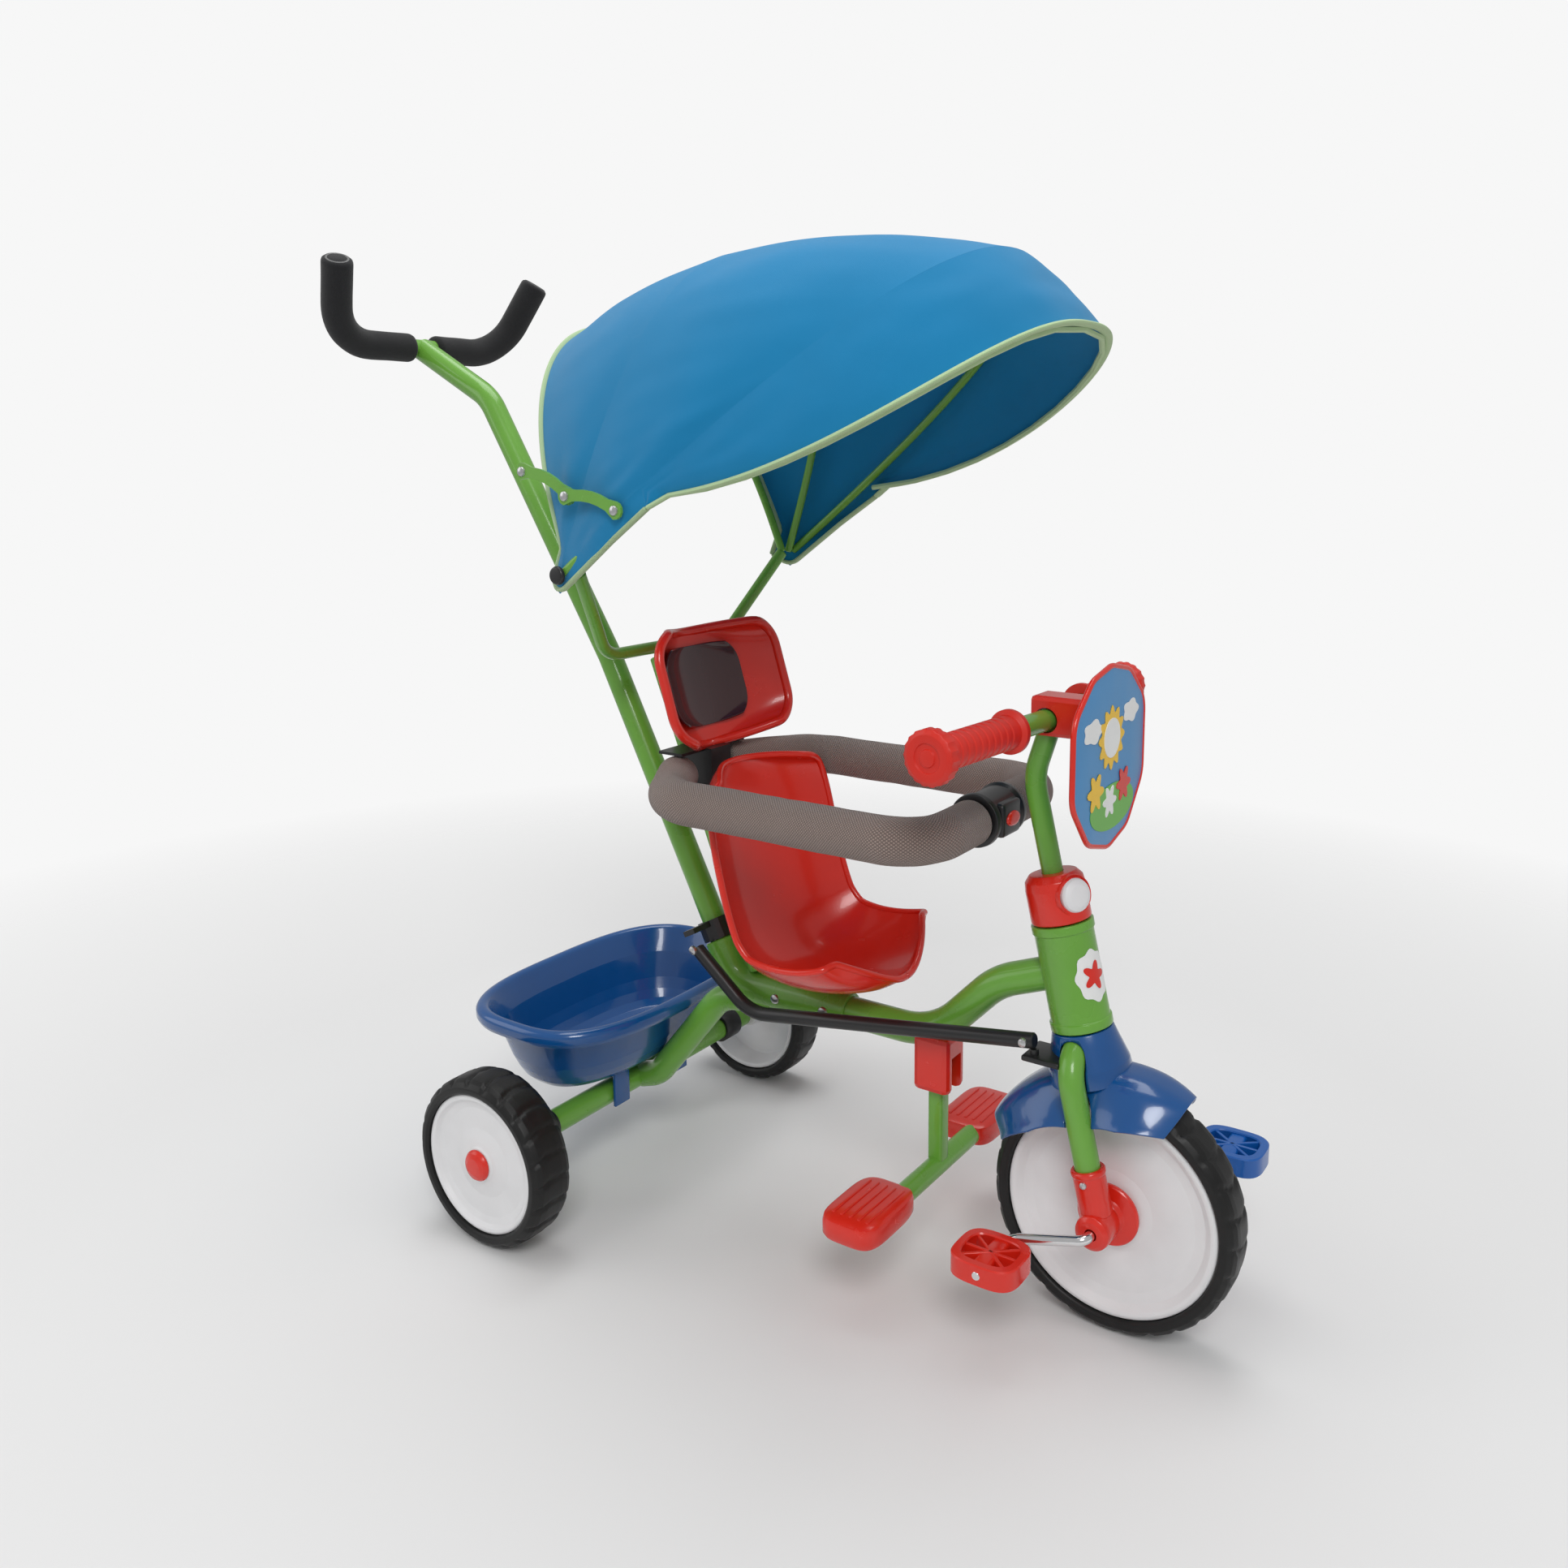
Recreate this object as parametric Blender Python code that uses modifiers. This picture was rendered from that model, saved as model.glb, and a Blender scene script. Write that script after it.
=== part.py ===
"""Children's push-along tricycle, modelled piece by piece.

World frame: metres, +X towards the front wheel, +Y to the rider's left, +Z up.
The origin is on the ground, below the middle of the whole tricycle.
Places in the side view are written as a distance ahead of the rear axle and a height.
"""
import math

import bmesh
import bpy
from mathutils import Matrix, Vector

# ---------------------------------------------------------------- wheels and track
WHEELBASE = 0.598
FRONT_WHEEL_RADIUS = 0.120
FRONT_WHEEL_WIDTH = 0.046
FRONT_TYRE_DEPTH = 0.0165
REAR_WHEEL_RADIUS = 0.0905
REAR_WHEEL_WIDTH = 0.050
REAR_TYRE_DEPTH = 0.0155
REAR_HALF_TRACK = 0.2230
REAR_AXLE_RADIUS = 0.005
CAP_RADIUS = 0.0165
CAP_HEIGHT = 0.0070
WHEEL_SEGMENTS = 32

# ---------------------------------------------------------------- fits
SEAT_GAP = 0.0003
RUNNING_GAP = 0.0006
MERGE = 0.00005

# ---------------------------------------------------------------- steering
RAKE = math.radians(13.3)
STEERER_RADIUS = 0.0125
HEAD_TUBE_RADIUS = 0.028
HEAD_TUBE_WALL = 0.003
HEAD_TUBE_LOW = 0.172
HEAD_TUBE_LENGTH = 0.100
HEAD_LIP = 0.0015
HEAD_LIP_LENGTH = 0.008
STEERER_RISE = 0.022
FORK_LEG_RADIUS = 0.012
FORK_HALF_SPACING = 0.043
FORK_CROWN = 0.158
FORK_LEG_END = 0.028
FORK_BEND = 0.032
LUG_DROP = 0.0130
LUG_THICKNESS = 0.0055
LUG_REACH_BACK = 0.010
LUG_REACH_FORE = 0.030
LUG_INNER = 0.006
FENDER_CLEARANCE = 0.0135
FENDER_BACK = math.radians(-50.0)
FENDER_FRONT = math.radians(43.0)
FENDER_WALL = 0.0025
COLLAR_HEIGHT = 0.0455
COLLAR_RADIUS = 0.0285
BUTTON_RADIUS = 0.0160
BUTTON_TRAVEL = 0.003
BUTTON_BEARING = math.radians(-24.0)
STEM_RADIUS = 0.0102
BAR_RADIUS = 0.0100
STEM_CORNER = 0.410
STEM_BEND = 0.060
BAR_AHEAD = WHEELBASE - 0.076
BAR_HEIGHT = 0.576
BAR_HALF_LENGTH = 0.203
BAR_SWEEP = math.radians(4.0)
GRIP_RADIUS = 0.0155
GRIP_LENGTH = 0.128
GRIP_FLANGE = 0.0235
GRIP_CAP = 0.0035
PLATE_AHEAD = BAR_AHEAD + 0.055
PLATE_HEIGHT = 0.546
PLATE_HALF_WIDTH = 0.080
PLATE_HALF_TALL = 0.084
PLATE_THICKNESS = 0.004
PLATE_CORNER = 0.030

# ---------------------------------------------------------------- drive
CRANK_RADIUS = 0.0048
CRANK_LENGTH = 0.073
CRANK_LEAN = math.radians(14.0)
CRANK_SHOULDER = 0.073
PEDAL_INNER = 0.090
PEDAL_WIDTH = 0.058
PEDAL_LENGTH = 0.066
PEDAL_HEIGHT = 0.020

# ---------------------------------------------------------------- frame tubes
MAIN_TUBE_RADIUS = 0.016
MAIN_TUBE_HEAD = 0.2255
MAIN_TUBE_KNEE = (WHEELBASE - 0.128, 0.3105)
MAIN_TUBE_DIP = 0.400
MAIN_TUBE_BEND = 0.090
REAR_TUBE_RADIUS = 0.019
REAR_TUBE_BEND = 0.045
FRAME_LEVEL = 0.2385
JOINT_AHEAD = 0.300
SPIGOT_LENGTH = 0.038
AXLE_TUBE_RADIUS = 0.0135
STAY_RADIUS = 0.0148
STAY_PATH = ((0.200, 0.226), (0.126, 0.216), (0.030, 0.099), (0.004, REAR_WHEEL_RADIUS))
STAY_BEND = 0.050
COLUMN_RADIUS = 0.013
COLUMN_TOP = (0.0486, 0.594)
COLUMN_FOOT = (0.1817, 0.260)

# ---------------------------------------------------------------- push pole
POLE_RADIUS = 0.0135
POLE_LEAN = math.radians(27.07)
POLE_MOUTH = (0.1275, 0.2840)
POLE_SOCKET_DEPTH = 0.030
POLE_KINK = (-0.0283, 0.5873)
POLE_BEND = (-0.2096, 0.8794)
HANDLE_JUNCTION = (-0.3248, 0.9401)
HANDLE_RADIUS = 0.011
FOAM_RADIUS = 0.0172
HANDLE_HALF_WIDTH = 0.145
HANDLE_RISE = 0.098
HANDLE_SPLAY = 0.026
POLE_BEND_RADIUS = 0.060
LINK_BEND = 0.050
LINK_RADIUS = 0.0075
LINK_SIDE = 0.038
LINK_REAR = (0.124, 0.283)
LINK_KNEE = (0.195, 0.226)
LINK_FRONT = (WHEELBASE - 0.070, 0.2785)

# ---------------------------------------------------------------- seat, back, ring
SEAT_HALF_WIDTH = 0.106
SEAT_DISH = 0.045
SHELL_WALL = 0.004
BACK_HALF_WIDTH = 0.100
BACK_BOTTOM = (0.1154, 0.5032)
BACK_TOP = (0.0790, 0.622)
BACK_DISH = 0.046
RING_RADIUS = 0.0225
RING_HEIGHT = 0.475
RING_REAR = 0.105
RING_SHOULDER = 0.165
RING_FRONT = 0.457
RING_HALF_WIDTH = 0.1275
RING_PIVOT_SIDE = 0.041
BUCKLE_HALF_LENGTH = 0.0305
BUCKLE_RADIUS = 0.0262
RING_BEND = 0.062
COLUMN_OVERRUN = 0.008

# ---------------------------------------------------------------- basket and footrest
BASKET_AHEAD = -0.028
BASKET_RIM_HEIGHT = 0.205
BASKET_FLOOR_HEIGHT = 0.1125
BASKET_HALF_LENGTH = 0.097
BASKET_HALF_WIDTH = 0.158
BASKET_RIM = 0.010
BASKET_WALL = 0.003
BASKET_LEAN = -0.006
CLIP_SIDE = 0.050
CLIP_WIDTH = 0.024
KNUCKLE = (0.405, 0.208)
FOOT_BAR_HEIGHT = 0.100
FOOT_BAR_RADIUS = 0.0105
FOOT_BAR_HALF_LENGTH = 0.150
FOOT_PIN_RADIUS = 0.0032
PAD_INNER = 0.066
PAD_WIDTH = 0.092
PAD_LENGTH = 0.062
PAD_HEIGHT = 0.0255

# ---------------------------------------------------------------- canopy
CANOPY_PIVOT = (0.093, 0.700)
CANOPY_WALL = 0.0022
BOW_RADIUS = 0.0045
U_FRAME_RADIUS = 0.0065
U_FRAME_CROSS = (0.060, 0.607)
U_FRAME_HALF_WIDTH = 0.098
U_FRAME_BEND = 0.040
REAR_BOW = {"angle": 111.0, "reach": 0.258, "half_width": 0.166, "square": 2.4}
MID_BOW = {"angle": 71.0, "reach": 0.322, "half_width": 0.178, "square": 2.6}
FRONT_BOW = {"angle": 37.5, "reach": 0.478, "half_width": 0.188, "square": 2.3}
PANEL_HALF_WIDTH = 0.188
PANEL_GAP = 0.0010
PANEL_FOOT = 0.028
PANEL_SEAM = 0.03
BRIM_FOOT = (0.2102, 0.7765)
BRIM_TOP = (0.543, 0.922)
BRIM_HALF_WIDTH = 0.181
BRIM_SQUARE = 2.6
BRIM_SAG = 0.8
BRIM_WIRE_RADIUS = 0.003
STAY_REACH = 0.105
STAY_SIDE = 0.1965
STAY_THICKNESS = 0.003
STAY_HALF_WIDTH = 0.0055
STAY_EYE = 0.0085
STAY_ARCH = 0.006
STAY_OVER_CENTRE = math.radians(5.0)

REAR_EXTREME = HANDLE_JUNCTION[0] - FOAM_RADIUS * math.cos(math.radians(5.0))
FRONT_EXTREME = WHEELBASE + FRONT_WHEEL_RADIUS
ORIGIN_AHEAD = 0.5 * (REAR_EXTREME + FRONT_EXTREME)

PARTS = "childrens_tricycle"
CUTTERS = "cutters"


# ================================================================ scene and materials
def clear_scene():
    for item in list(bpy.data.objects):
        bpy.data.objects.remove(item, do_unlink=True)


def make_collections():
    found = {}
    for name in (PARTS, CUTTERS):
        found[name] = bpy.data.collections.new(name)
        bpy.context.scene.collection.children.link(found[name])
    return found


def make_material(name, colour, roughness, metallic=0.0):
    material = bpy.data.materials.new(name)
    material.use_nodes = True
    shader = material.node_tree.nodes["Principled BSDF"]
    shader.inputs["Base Color"].default_value = (*colour, 1.0)
    shader.inputs["Roughness"].default_value = roughness
    shader.inputs["Metallic"].default_value = metallic
    material.diffuse_color = (*colour, 1.0)
    return material


# ================================================================ places
def side_view(ahead, height, side=0.0):
    """A world point from its distance ahead of the rear axle and its height."""
    return Vector((ahead - ORIGIN_AHEAD, side, height))


def front_axle(side=0.0):
    return side_view(WHEELBASE, FRONT_WHEEL_RADIUS, side)


def steering_point(along, side=0.0, fore=0.0):
    """A point given along the steering axis from the front axle, to its side and ahead of it."""
    up = Vector((-math.sin(RAKE), 0.0, math.cos(RAKE)))
    ahead = Vector((math.cos(RAKE), 0.0, math.sin(RAKE)))
    return front_axle(side) + up * along + ahead * fore


def canopy_point(bow, share, grow=0.0):
    """A point on a bow. share runs from -1 at the right foot, over the top, to 1 at the left."""
    turn = share * math.pi / 2
    power = 2.0 / bow["square"]
    out = (bow["reach"] + grow) * abs(math.cos(turn)) ** power
    side = math.copysign(abs(math.sin(turn)) ** power, turn) * (bow["half_width"] + grow)
    angle = math.radians(bow["angle"])
    return side_view(CANOPY_PIVOT[0] + out * math.cos(angle), CANOPY_PIVOT[1] + out * math.sin(angle), side)


def brim_point(share, grow=0.0):
    """A point on the brim's sagging edge, from the right foot over the top to the left foot."""
    turn = share * math.pi / 2
    power = 2.0 / BRIM_SQUARE
    part = abs(math.cos(turn)) ** power
    side = math.copysign(abs(math.sin(turn)) ** power, turn) * (BRIM_HALF_WIDTH + grow)
    ahead = BRIM_FOOT[0] + (BRIM_TOP[0] - BRIM_FOOT[0] + grow) * part
    rise = (1.0 - BRIM_SAG) * part + BRIM_SAG * part ** 2
    return side_view(ahead, BRIM_FOOT[1] + (BRIM_TOP[1] - BRIM_FOOT[1]) * rise + grow * part, side)


# ================================================================ builders
class Workshop:
    """Makes the named pieces in the parts collection and the cutters in theirs."""

    def __init__(self):
        self.collections = make_collections()

    def place(self, item, material, cutter=False):
        self.collections[CUTTERS if cutter else PARTS].objects.link(item)
        if material is not None:
            item.data.materials.append(material)
        if cutter:
            item.hide_render = True
            item.display_type = "WIRE"
        return item

    def from_bmesh(self, name, shape, material=None, cutter=False, smooth=True):
        mesh = bpy.data.meshes.new(name)
        shape.to_mesh(mesh)
        shape.free()
        if smooth:
            mesh.shade_smooth()
            mesh.set_sharp_from_angle(angle=math.radians(35.0))
        return self.place(bpy.data.objects.new(name, mesh), material, cutter)

    def turned(self, name, profile, origin, axis, material, closed=False, segments=20, start=None,
               cutter=False):
        """A turned solid. The profile lists (radius, height along axis) down its outer side."""
        mesh = bpy.data.meshes.new(name)
        points = [(radius, 0.0, height) for radius, height in profile]
        edges = [(i, i + 1) for i in range(len(points) - 1)]
        if closed:
            edges.append((len(points) - 1, 0))
        mesh.from_pydata(points, edges, [])
        item = self.place(bpy.data.objects.new(name, mesh), material, cutter)
        screw = item.modifiers.new("turn", "SCREW")
        screw.angle = 2.0 * math.pi
        screw.steps = segments
        screw.render_steps = segments
        screw.use_merge_vertices = True
        screw.merge_threshold = MERGE
        screw.use_smooth_shade = True
        item.matrix_world = frame_along(origin, axis, start)
        return item

    def tube(self, name, path, radius, material=None, resolution=3, cutter=False):
        """A round bar along a path of points, with both ends filled."""
        curve = bpy.data.curves.new(name, "CURVE")
        curve.dimensions = "3D"
        curve.bevel_depth = radius
        curve.bevel_resolution = resolution
        curve.use_fill_caps = True
        curve.twist_mode = "MINIMUM"
        origin = path[0]
        spline = curve.splines.new("POLY")
        spline.points.add(len(path) - 1)
        for point, target in zip(path, spline.points):
            target.co = (*(point - origin), 1.0)
        item = self.place(bpy.data.objects.new(name, curve), material, cutter)
        item.location = origin
        return item

    def solid_tube(self, name, path, radius, material=None, resolution=3, cutter=False):
        """A tube turned into a mesh with welded caps, so that it can be cut or joined."""
        source = self.tube(name + "_curve", path, radius, None, resolution, cutter)
        bpy.context.view_layer.update()
        graph = bpy.context.evaluated_depsgraph_get()
        mesh = bpy.data.meshes.new_from_object(source.evaluated_get(graph))
        place = source.matrix_world.copy()
        bpy.data.objects.remove(source, do_unlink=True)
        shape = bmesh.new()
        shape.from_mesh(mesh)
        bpy.data.meshes.remove(mesh)
        bmesh.ops.remove_doubles(shape, verts=shape.verts, dist=MERGE)
        bmesh.ops.recalc_face_normals(shape, faces=shape.faces)
        item = self.from_bmesh(name, shape, material, cutter)
        item.matrix_world = place
        return item

    def box(self, name, low, high, material=None, cutter=False, bevel=0.0, turn=None):
        """A box between two world corners, turned about its own middle if turn is given."""
        shape = bmesh.new()
        bmesh.ops.create_cube(shape, size=1.0)
        size = high - low
        bmesh.ops.scale(shape, vec=size, verts=shape.verts)
        if bevel > 0.0:
            bmesh.ops.bevel(shape, geom=shape.edges[:], offset=bevel, segments=2, profile=0.5,
                            affect="EDGES")
        item = self.from_bmesh(name, shape, material, cutter)
        item.location = (low + high) / 2
        if turn is not None:
            item.rotation_euler = turn
        return item

    def cylinder(self, name, start, end, radius, material=None, segments=20, cutter=False):
        shape = bmesh.new()
        length = (end - start).length
        bmesh.ops.create_cone(shape, cap_ends=True, segments=segments, radius1=radius,
                              radius2=radius, depth=length)
        item = self.from_bmesh(name, shape, material, cutter)
        item.matrix_world = frame_along((start + end) / 2, end - start)
        return item

    def sheet(self, name, rows, material, wall, offset=1.0, closed=False, cap_last=False):
        """A shell lofted through rows of points, given its wall by Solidify."""
        shape = bmesh.new()
        grid = [[shape.verts.new(point) for point in row] for row in rows]
        for upper, lower in zip(grid, grid[1:]):
            count = len(upper)
            for i in range(count if closed else count - 1):
                j = (i + 1) % count
                shape.faces.new((upper[i], upper[j], lower[j], lower[i]))
        if cap_last:
            shape.faces.new(grid[-1])
        item = self.from_bmesh(name, shape, material)
        solidify = item.modifiers.new("wall", "SOLIDIFY")
        solidify.thickness = wall
        solidify.offset = offset
        solidify.use_even_offset = True
        return item

    def outline(self, name, points, centre, turn, thickness, material):
        """A flat plate from an outline, as thick as asked, lying in its own XY plane."""
        curve = bpy.data.curves.new(name, "CURVE")
        curve.dimensions = "2D"
        curve.fill_mode = "BOTH"
        curve.extrude = thickness / 2
        spline = curve.splines.new("POLY")
        spline.points.add(len(points) - 1)
        for point, target in zip(points, spline.points):
            target.co = (point[0], point[1], 0.0, 1.0)
        spline.use_cyclic_u = True
        item = self.place(bpy.data.objects.new(name, curve), material)
        item.location = centre
        item.rotation_euler = turn
        return item


def frame_along(origin, axis, start=None):
    """A place whose Z runs along axis and whose X points as near to start as it can."""
    z_axis = axis.normalized()
    hint = start if start is not None else Vector((0.0, 0.0, -1.0))
    if abs(hint.normalized().dot(z_axis)) > 0.99:
        hint = Vector((1.0, 0.0, 0.0))
    x_axis = (hint - z_axis * hint.dot(z_axis)).normalized()
    y_axis = z_axis.cross(x_axis)
    turn = Matrix((x_axis, y_axis, z_axis)).transposed().to_4x4()
    return Matrix.Translation(origin) @ turn


def boolean(item, tool, operation="DIFFERENCE"):
    modifier = item.modifiers.new(operation.lower(), "BOOLEAN")
    modifier.operation = operation
    modifier.solver = "EXACT"
    modifier.object = tool
    return item


def rounded(points, radius, steps=4):
    """A bent tube's centre line: straight runs with an arc of the bend radius at each corner."""
    path = [points[0]]
    for before, corner, after in zip(points, points[1:], points[2:]):
        arrive = (corner - before).normalized()
        leave = (after - corner).normalized()
        turn = arrive.angle(leave)
        if turn < math.radians(1.0):
            path.append(corner)
            continue
        back = min(radius * math.tan(turn / 2), 0.45 * (corner - before).length,
                   0.45 * (after - corner).length)
        bend = back / math.tan(turn / 2)
        centre = corner + (leave - arrive).normalized() * (bend / math.cos(turn / 2))
        first = corner - arrive * back - centre
        axis = arrive.cross(leave).normalized()
        for i in range(steps + 1):
            path.append(centre + Matrix.Rotation(turn * i / steps, 3, axis) @ first)
    path.append(points[-1])
    return path


def super_ring(half_x, half_y, square, count):
    """Points round a rounded oval, anticlockwise."""
    points = []
    power = 2.0 / square
    for i in range(count):
        turn = 2.0 * math.pi * i / count
        x = math.copysign(abs(math.cos(turn)) ** power, math.cos(turn)) * half_x
        y = math.copysign(abs(math.sin(turn)) ** power, math.sin(turn)) * half_y
        points.append((x, y))
    return points


# ================================================================ frame
def head_tube(shop, paint):
    low = steering_point(HEAD_TUBE_LOW)
    axis = steering_point(1.0) - steering_point(0.0)
    inner = HEAD_TUBE_RADIUS - HEAD_TUBE_WALL
    bush = STEERER_RADIUS + RUNNING_GAP
    lip = HEAD_LIP_LENGTH
    wide = HEAD_TUBE_RADIUS + HEAD_LIP
    top = HEAD_TUBE_LENGTH
    profile = [(bush, top), (wide, top), (wide, top - lip), (HEAD_TUBE_RADIUS, top - lip),
               (HEAD_TUBE_RADIUS, lip), (wide, lip), (wide, 0.0), (bush, 0.0), (bush, lip),
               (inner, lip), (inner, top - lip), (bush, top - lip)]
    return shop.turned("head_tube", profile, low, axis, paint, closed=True, segments=28)


def rear_tube_path():
    level = side_view(JOINT_AHEAD, FRAME_LEVEL)
    mouth = side_view(*POLE_MOUTH)
    drop = (POLE_MOUTH[1] - FRAME_LEVEL) / math.cos(POLE_LEAN)
    corner = side_view(POLE_MOUTH[0] + drop * math.sin(POLE_LEAN), FRAME_LEVEL)
    return rounded([level, corner, mouth], REAR_TUBE_BEND)


def pole_axis():
    return Vector((-math.sin(POLE_LEAN), 0.0, math.cos(POLE_LEAN)))


def frame_tubes(shop, paint):
    head = shop.cylinder("head_tube_cutter", steering_point(HEAD_TUBE_LOW - 0.02),
                         steering_point(HEAD_TUBE_LOW + HEAD_TUBE_LENGTH + 0.02),
                         HEAD_TUBE_RADIUS + SEAT_GAP, segments=32, cutter=True)
    path = rounded([steering_point(MAIN_TUBE_HEAD), side_view(*MAIN_TUBE_KNEE),
                    side_view(MAIN_TUBE_DIP, FRAME_LEVEL),
                    side_view(JOINT_AHEAD - SPIGOT_LENGTH, FRAME_LEVEL)], MAIN_TUBE_BEND, steps=5)
    main = shop.solid_tube("main_tube", path, MAIN_TUBE_RADIUS, paint)
    boolean(main, head)

    rear = shop.solid_tube("rear_tube", rear_tube_path(), REAR_TUBE_RADIUS, paint)
    spigot = shop.cylinder("spigot_cutter", side_view(JOINT_AHEAD + 0.01, FRAME_LEVEL),
                           side_view(JOINT_AHEAD - SPIGOT_LENGTH - SEAT_GAP, FRAME_LEVEL),
                           MAIN_TUBE_RADIUS + SEAT_GAP, segments=16, cutter=True)
    boolean(rear, spigot)
    mouth = side_view(*POLE_MOUTH)
    socket = shop.cylinder("socket_cutter", mouth + pole_axis() * 0.01,
                           mouth - pole_axis() * (POLE_SOCKET_DEPTH + RUNNING_GAP),
                           POLE_RADIUS + RUNNING_GAP, segments=16, cutter=True)
    boolean(rear, socket)


def axle_frame(shop, paint, steel):
    """The axle tube with the stay welded to its middle, and the rod the rear wheels turn on."""
    path = rounded([side_view(*point) for point in STAY_PATH], STAY_BEND)
    frame = shop.solid_tube("axle_frame", path, STAY_RADIUS, paint)
    half = REAR_HALF_TRACK - REAR_WHEEL_WIDTH / 2 - 0.0025
    tube = shop.cylinder("axle_tube", side_view(0.0, REAR_WHEEL_RADIUS, -half),
                         side_view(0.0, REAR_WHEEL_RADIUS, half), AXLE_TUBE_RADIUS, cutter=True)
    boolean(frame, tube, "UNION")
    room = shop.solid_tube("rear_tube_cutter", rear_tube_path(), REAR_TUBE_RADIUS + SEAT_GAP, cutter=True)
    boolean(frame, room)
    bore = shop.cylinder("axle_bore", side_view(0.0, REAR_WHEEL_RADIUS, -half - 0.01),
                         side_view(0.0, REAR_WHEEL_RADIUS, half + 0.01), REAR_AXLE_RADIUS + SEAT_GAP,
                         segments=16, cutter=True)
    boolean(frame, bore)
    end = REAR_HALF_TRACK + 0.0205
    shop.cylinder("axle_rod", side_view(0.0, REAR_WHEEL_RADIUS, -end),
                  side_view(0.0, REAR_WHEEL_RADIUS, end), REAR_AXLE_RADIUS, steel, segments=16)


def column_parts(shop, paint, plastic):
    foot = side_view(*COLUMN_FOOT)
    top = side_view(*COLUMN_TOP)
    column = shop.solid_tube("back_column", [foot - (top - foot).normalized() * COLUMN_OVERRUN, top],
                             COLUMN_RADIUS, paint)
    tube = shop.solid_tube("rear_tube_top_cutter", rear_tube_path(), REAR_TUBE_RADIUS + SEAT_GAP,
                           cutter=True)
    boolean(column, tube)
    cross = shop.cylinder("cross_tube_cutter", u_frame_points()[1], u_frame_points()[2],
                          U_FRAME_RADIUS + SEAT_GAP, segments=16, cutter=True)
    boolean(column, cross)

    sleeve = shop.solid_tube("column_cutter", [foot, top], COLUMN_RADIUS + SEAT_GAP, cutter=True)
    inner = RING_PIVOT_SIDE - RING_RADIUS - 0.002
    middle = side_view(RING_REAR + 0.004, RING_HEIGHT)
    reach = Vector((0.022, inner, RING_RADIUS + 0.004))
    bracket = shop.box("ring_bracket", middle - reach, middle + reach, plastic)
    for side in (-1, 1):
        ear = side_view(RING_REAR, RING_HEIGHT + side * (RING_RADIUS + 0.0025))
        half = Vector((0.016, RING_PIVOT_SIDE + 0.012, 0.0015))
        tool = shop.box("ring_ear_%d" % (side + 1), ear - half, ear + half, cutter=True)
        boolean(bracket, tool, "UNION")
    boolean(bracket, sleeve)


# ================================================================ seat and back
def dished_rows(spine, half_width, dish, across=9, tighten=None):
    """Rows of points across a spine of (ahead, height), lifted at both sides along its normal."""
    rows = []
    for i, (ahead, height) in enumerate(spine):
        before = spine[max(i - 1, 0)]
        after = spine[min(i + 1, len(spine) - 1)]
        along = Vector((after[0] - before[0], 0.0, after[1] - before[1])).normalized()
        normal = Vector((-along.z, 0.0, along.x))
        if normal.x < 0 and normal.z < 0:
            normal.negate()
        width = half_width * (tighten[i] if tighten else 1.0)
        row = []
        for j in range(across):
            share = -1.0 + 2.0 * j / (across - 1)
            lift = dish * abs(share) ** 2.4
            row.append(side_view(ahead, height, share * width) + normal * lift)
        rows.append(row)
    return rows


def seat_shell(shop, plastic):
    spine = [(0.366, 0.292), (0.345, 0.281), (0.305, 0.2715), (0.262, 0.2700), (0.224, 0.279),
             (0.196, 0.305), (0.180, 0.340), (0.167, 0.385), (0.157, 0.430), (0.150, 0.468),
             (0.1480, 0.488)]
    widths = [0.72, 0.90, 1.0, 1.0, 1.0, 1.0, 1.0, 1.0, 0.96, 0.84, 0.62]
    rows = dished_rows(spine[::-1], SEAT_HALF_WIDTH, SEAT_DISH, tighten=widths[::-1])
    return shop.sheet("seat_shell", rows, plastic, SHELL_WALL, offset=-1.0)


def back_parts(shop, plastic, panel):
    count = 9
    spine = []
    widths = []
    for i in range(count):
        share = i / (count - 1)
        ahead = BACK_TOP[0] + (BACK_BOTTOM[0] - BACK_TOP[0]) * share
        height = BACK_TOP[1] + (BACK_BOTTOM[1] - BACK_TOP[1]) * share
        spine.append((ahead, height))
        round_off = abs(2.0 * share - 1.0) ** 4
        widths.append((1.0 - 0.38 * round_off) * (1.0 - 0.06 * share))
    rows = dished_rows(spine, BACK_HALF_WIDTH, BACK_DISH, tighten=widths)
    shop.sheet("backrest_shell", rows, plastic, SHELL_WALL * 1.5, offset=-1.0)
    inset = [spine[i] for i in range(2, count - 1)]
    narrow = [0.66 * widths[i] for i in range(2, count - 1)]
    rows = dished_rows(inset, BACK_HALF_WIDTH, BACK_DISH * 0.66 ** 2.4, tighten=narrow)
    lifted = [[point + Vector((0.0096, 0.0, 0.0028)) for point in row] for row in rows]
    shop.sheet("backrest_panel", lifted, panel, 0.0015, offset=-1.0)


def ring_path(side):
    wide = side * RING_HALF_WIDTH
    points = [side_view(RING_REAR, RING_HEIGHT, side * RING_PIVOT_SIDE),
              side_view(RING_SHOULDER, RING_HEIGHT, wide), side_view(RING_FRONT, RING_HEIGHT, wide),
              side_view(RING_FRONT, RING_HEIGHT, side * (BUCKLE_HALF_LENGTH + SEAT_GAP))]
    return rounded(points, RING_BEND, steps=5)


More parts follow.
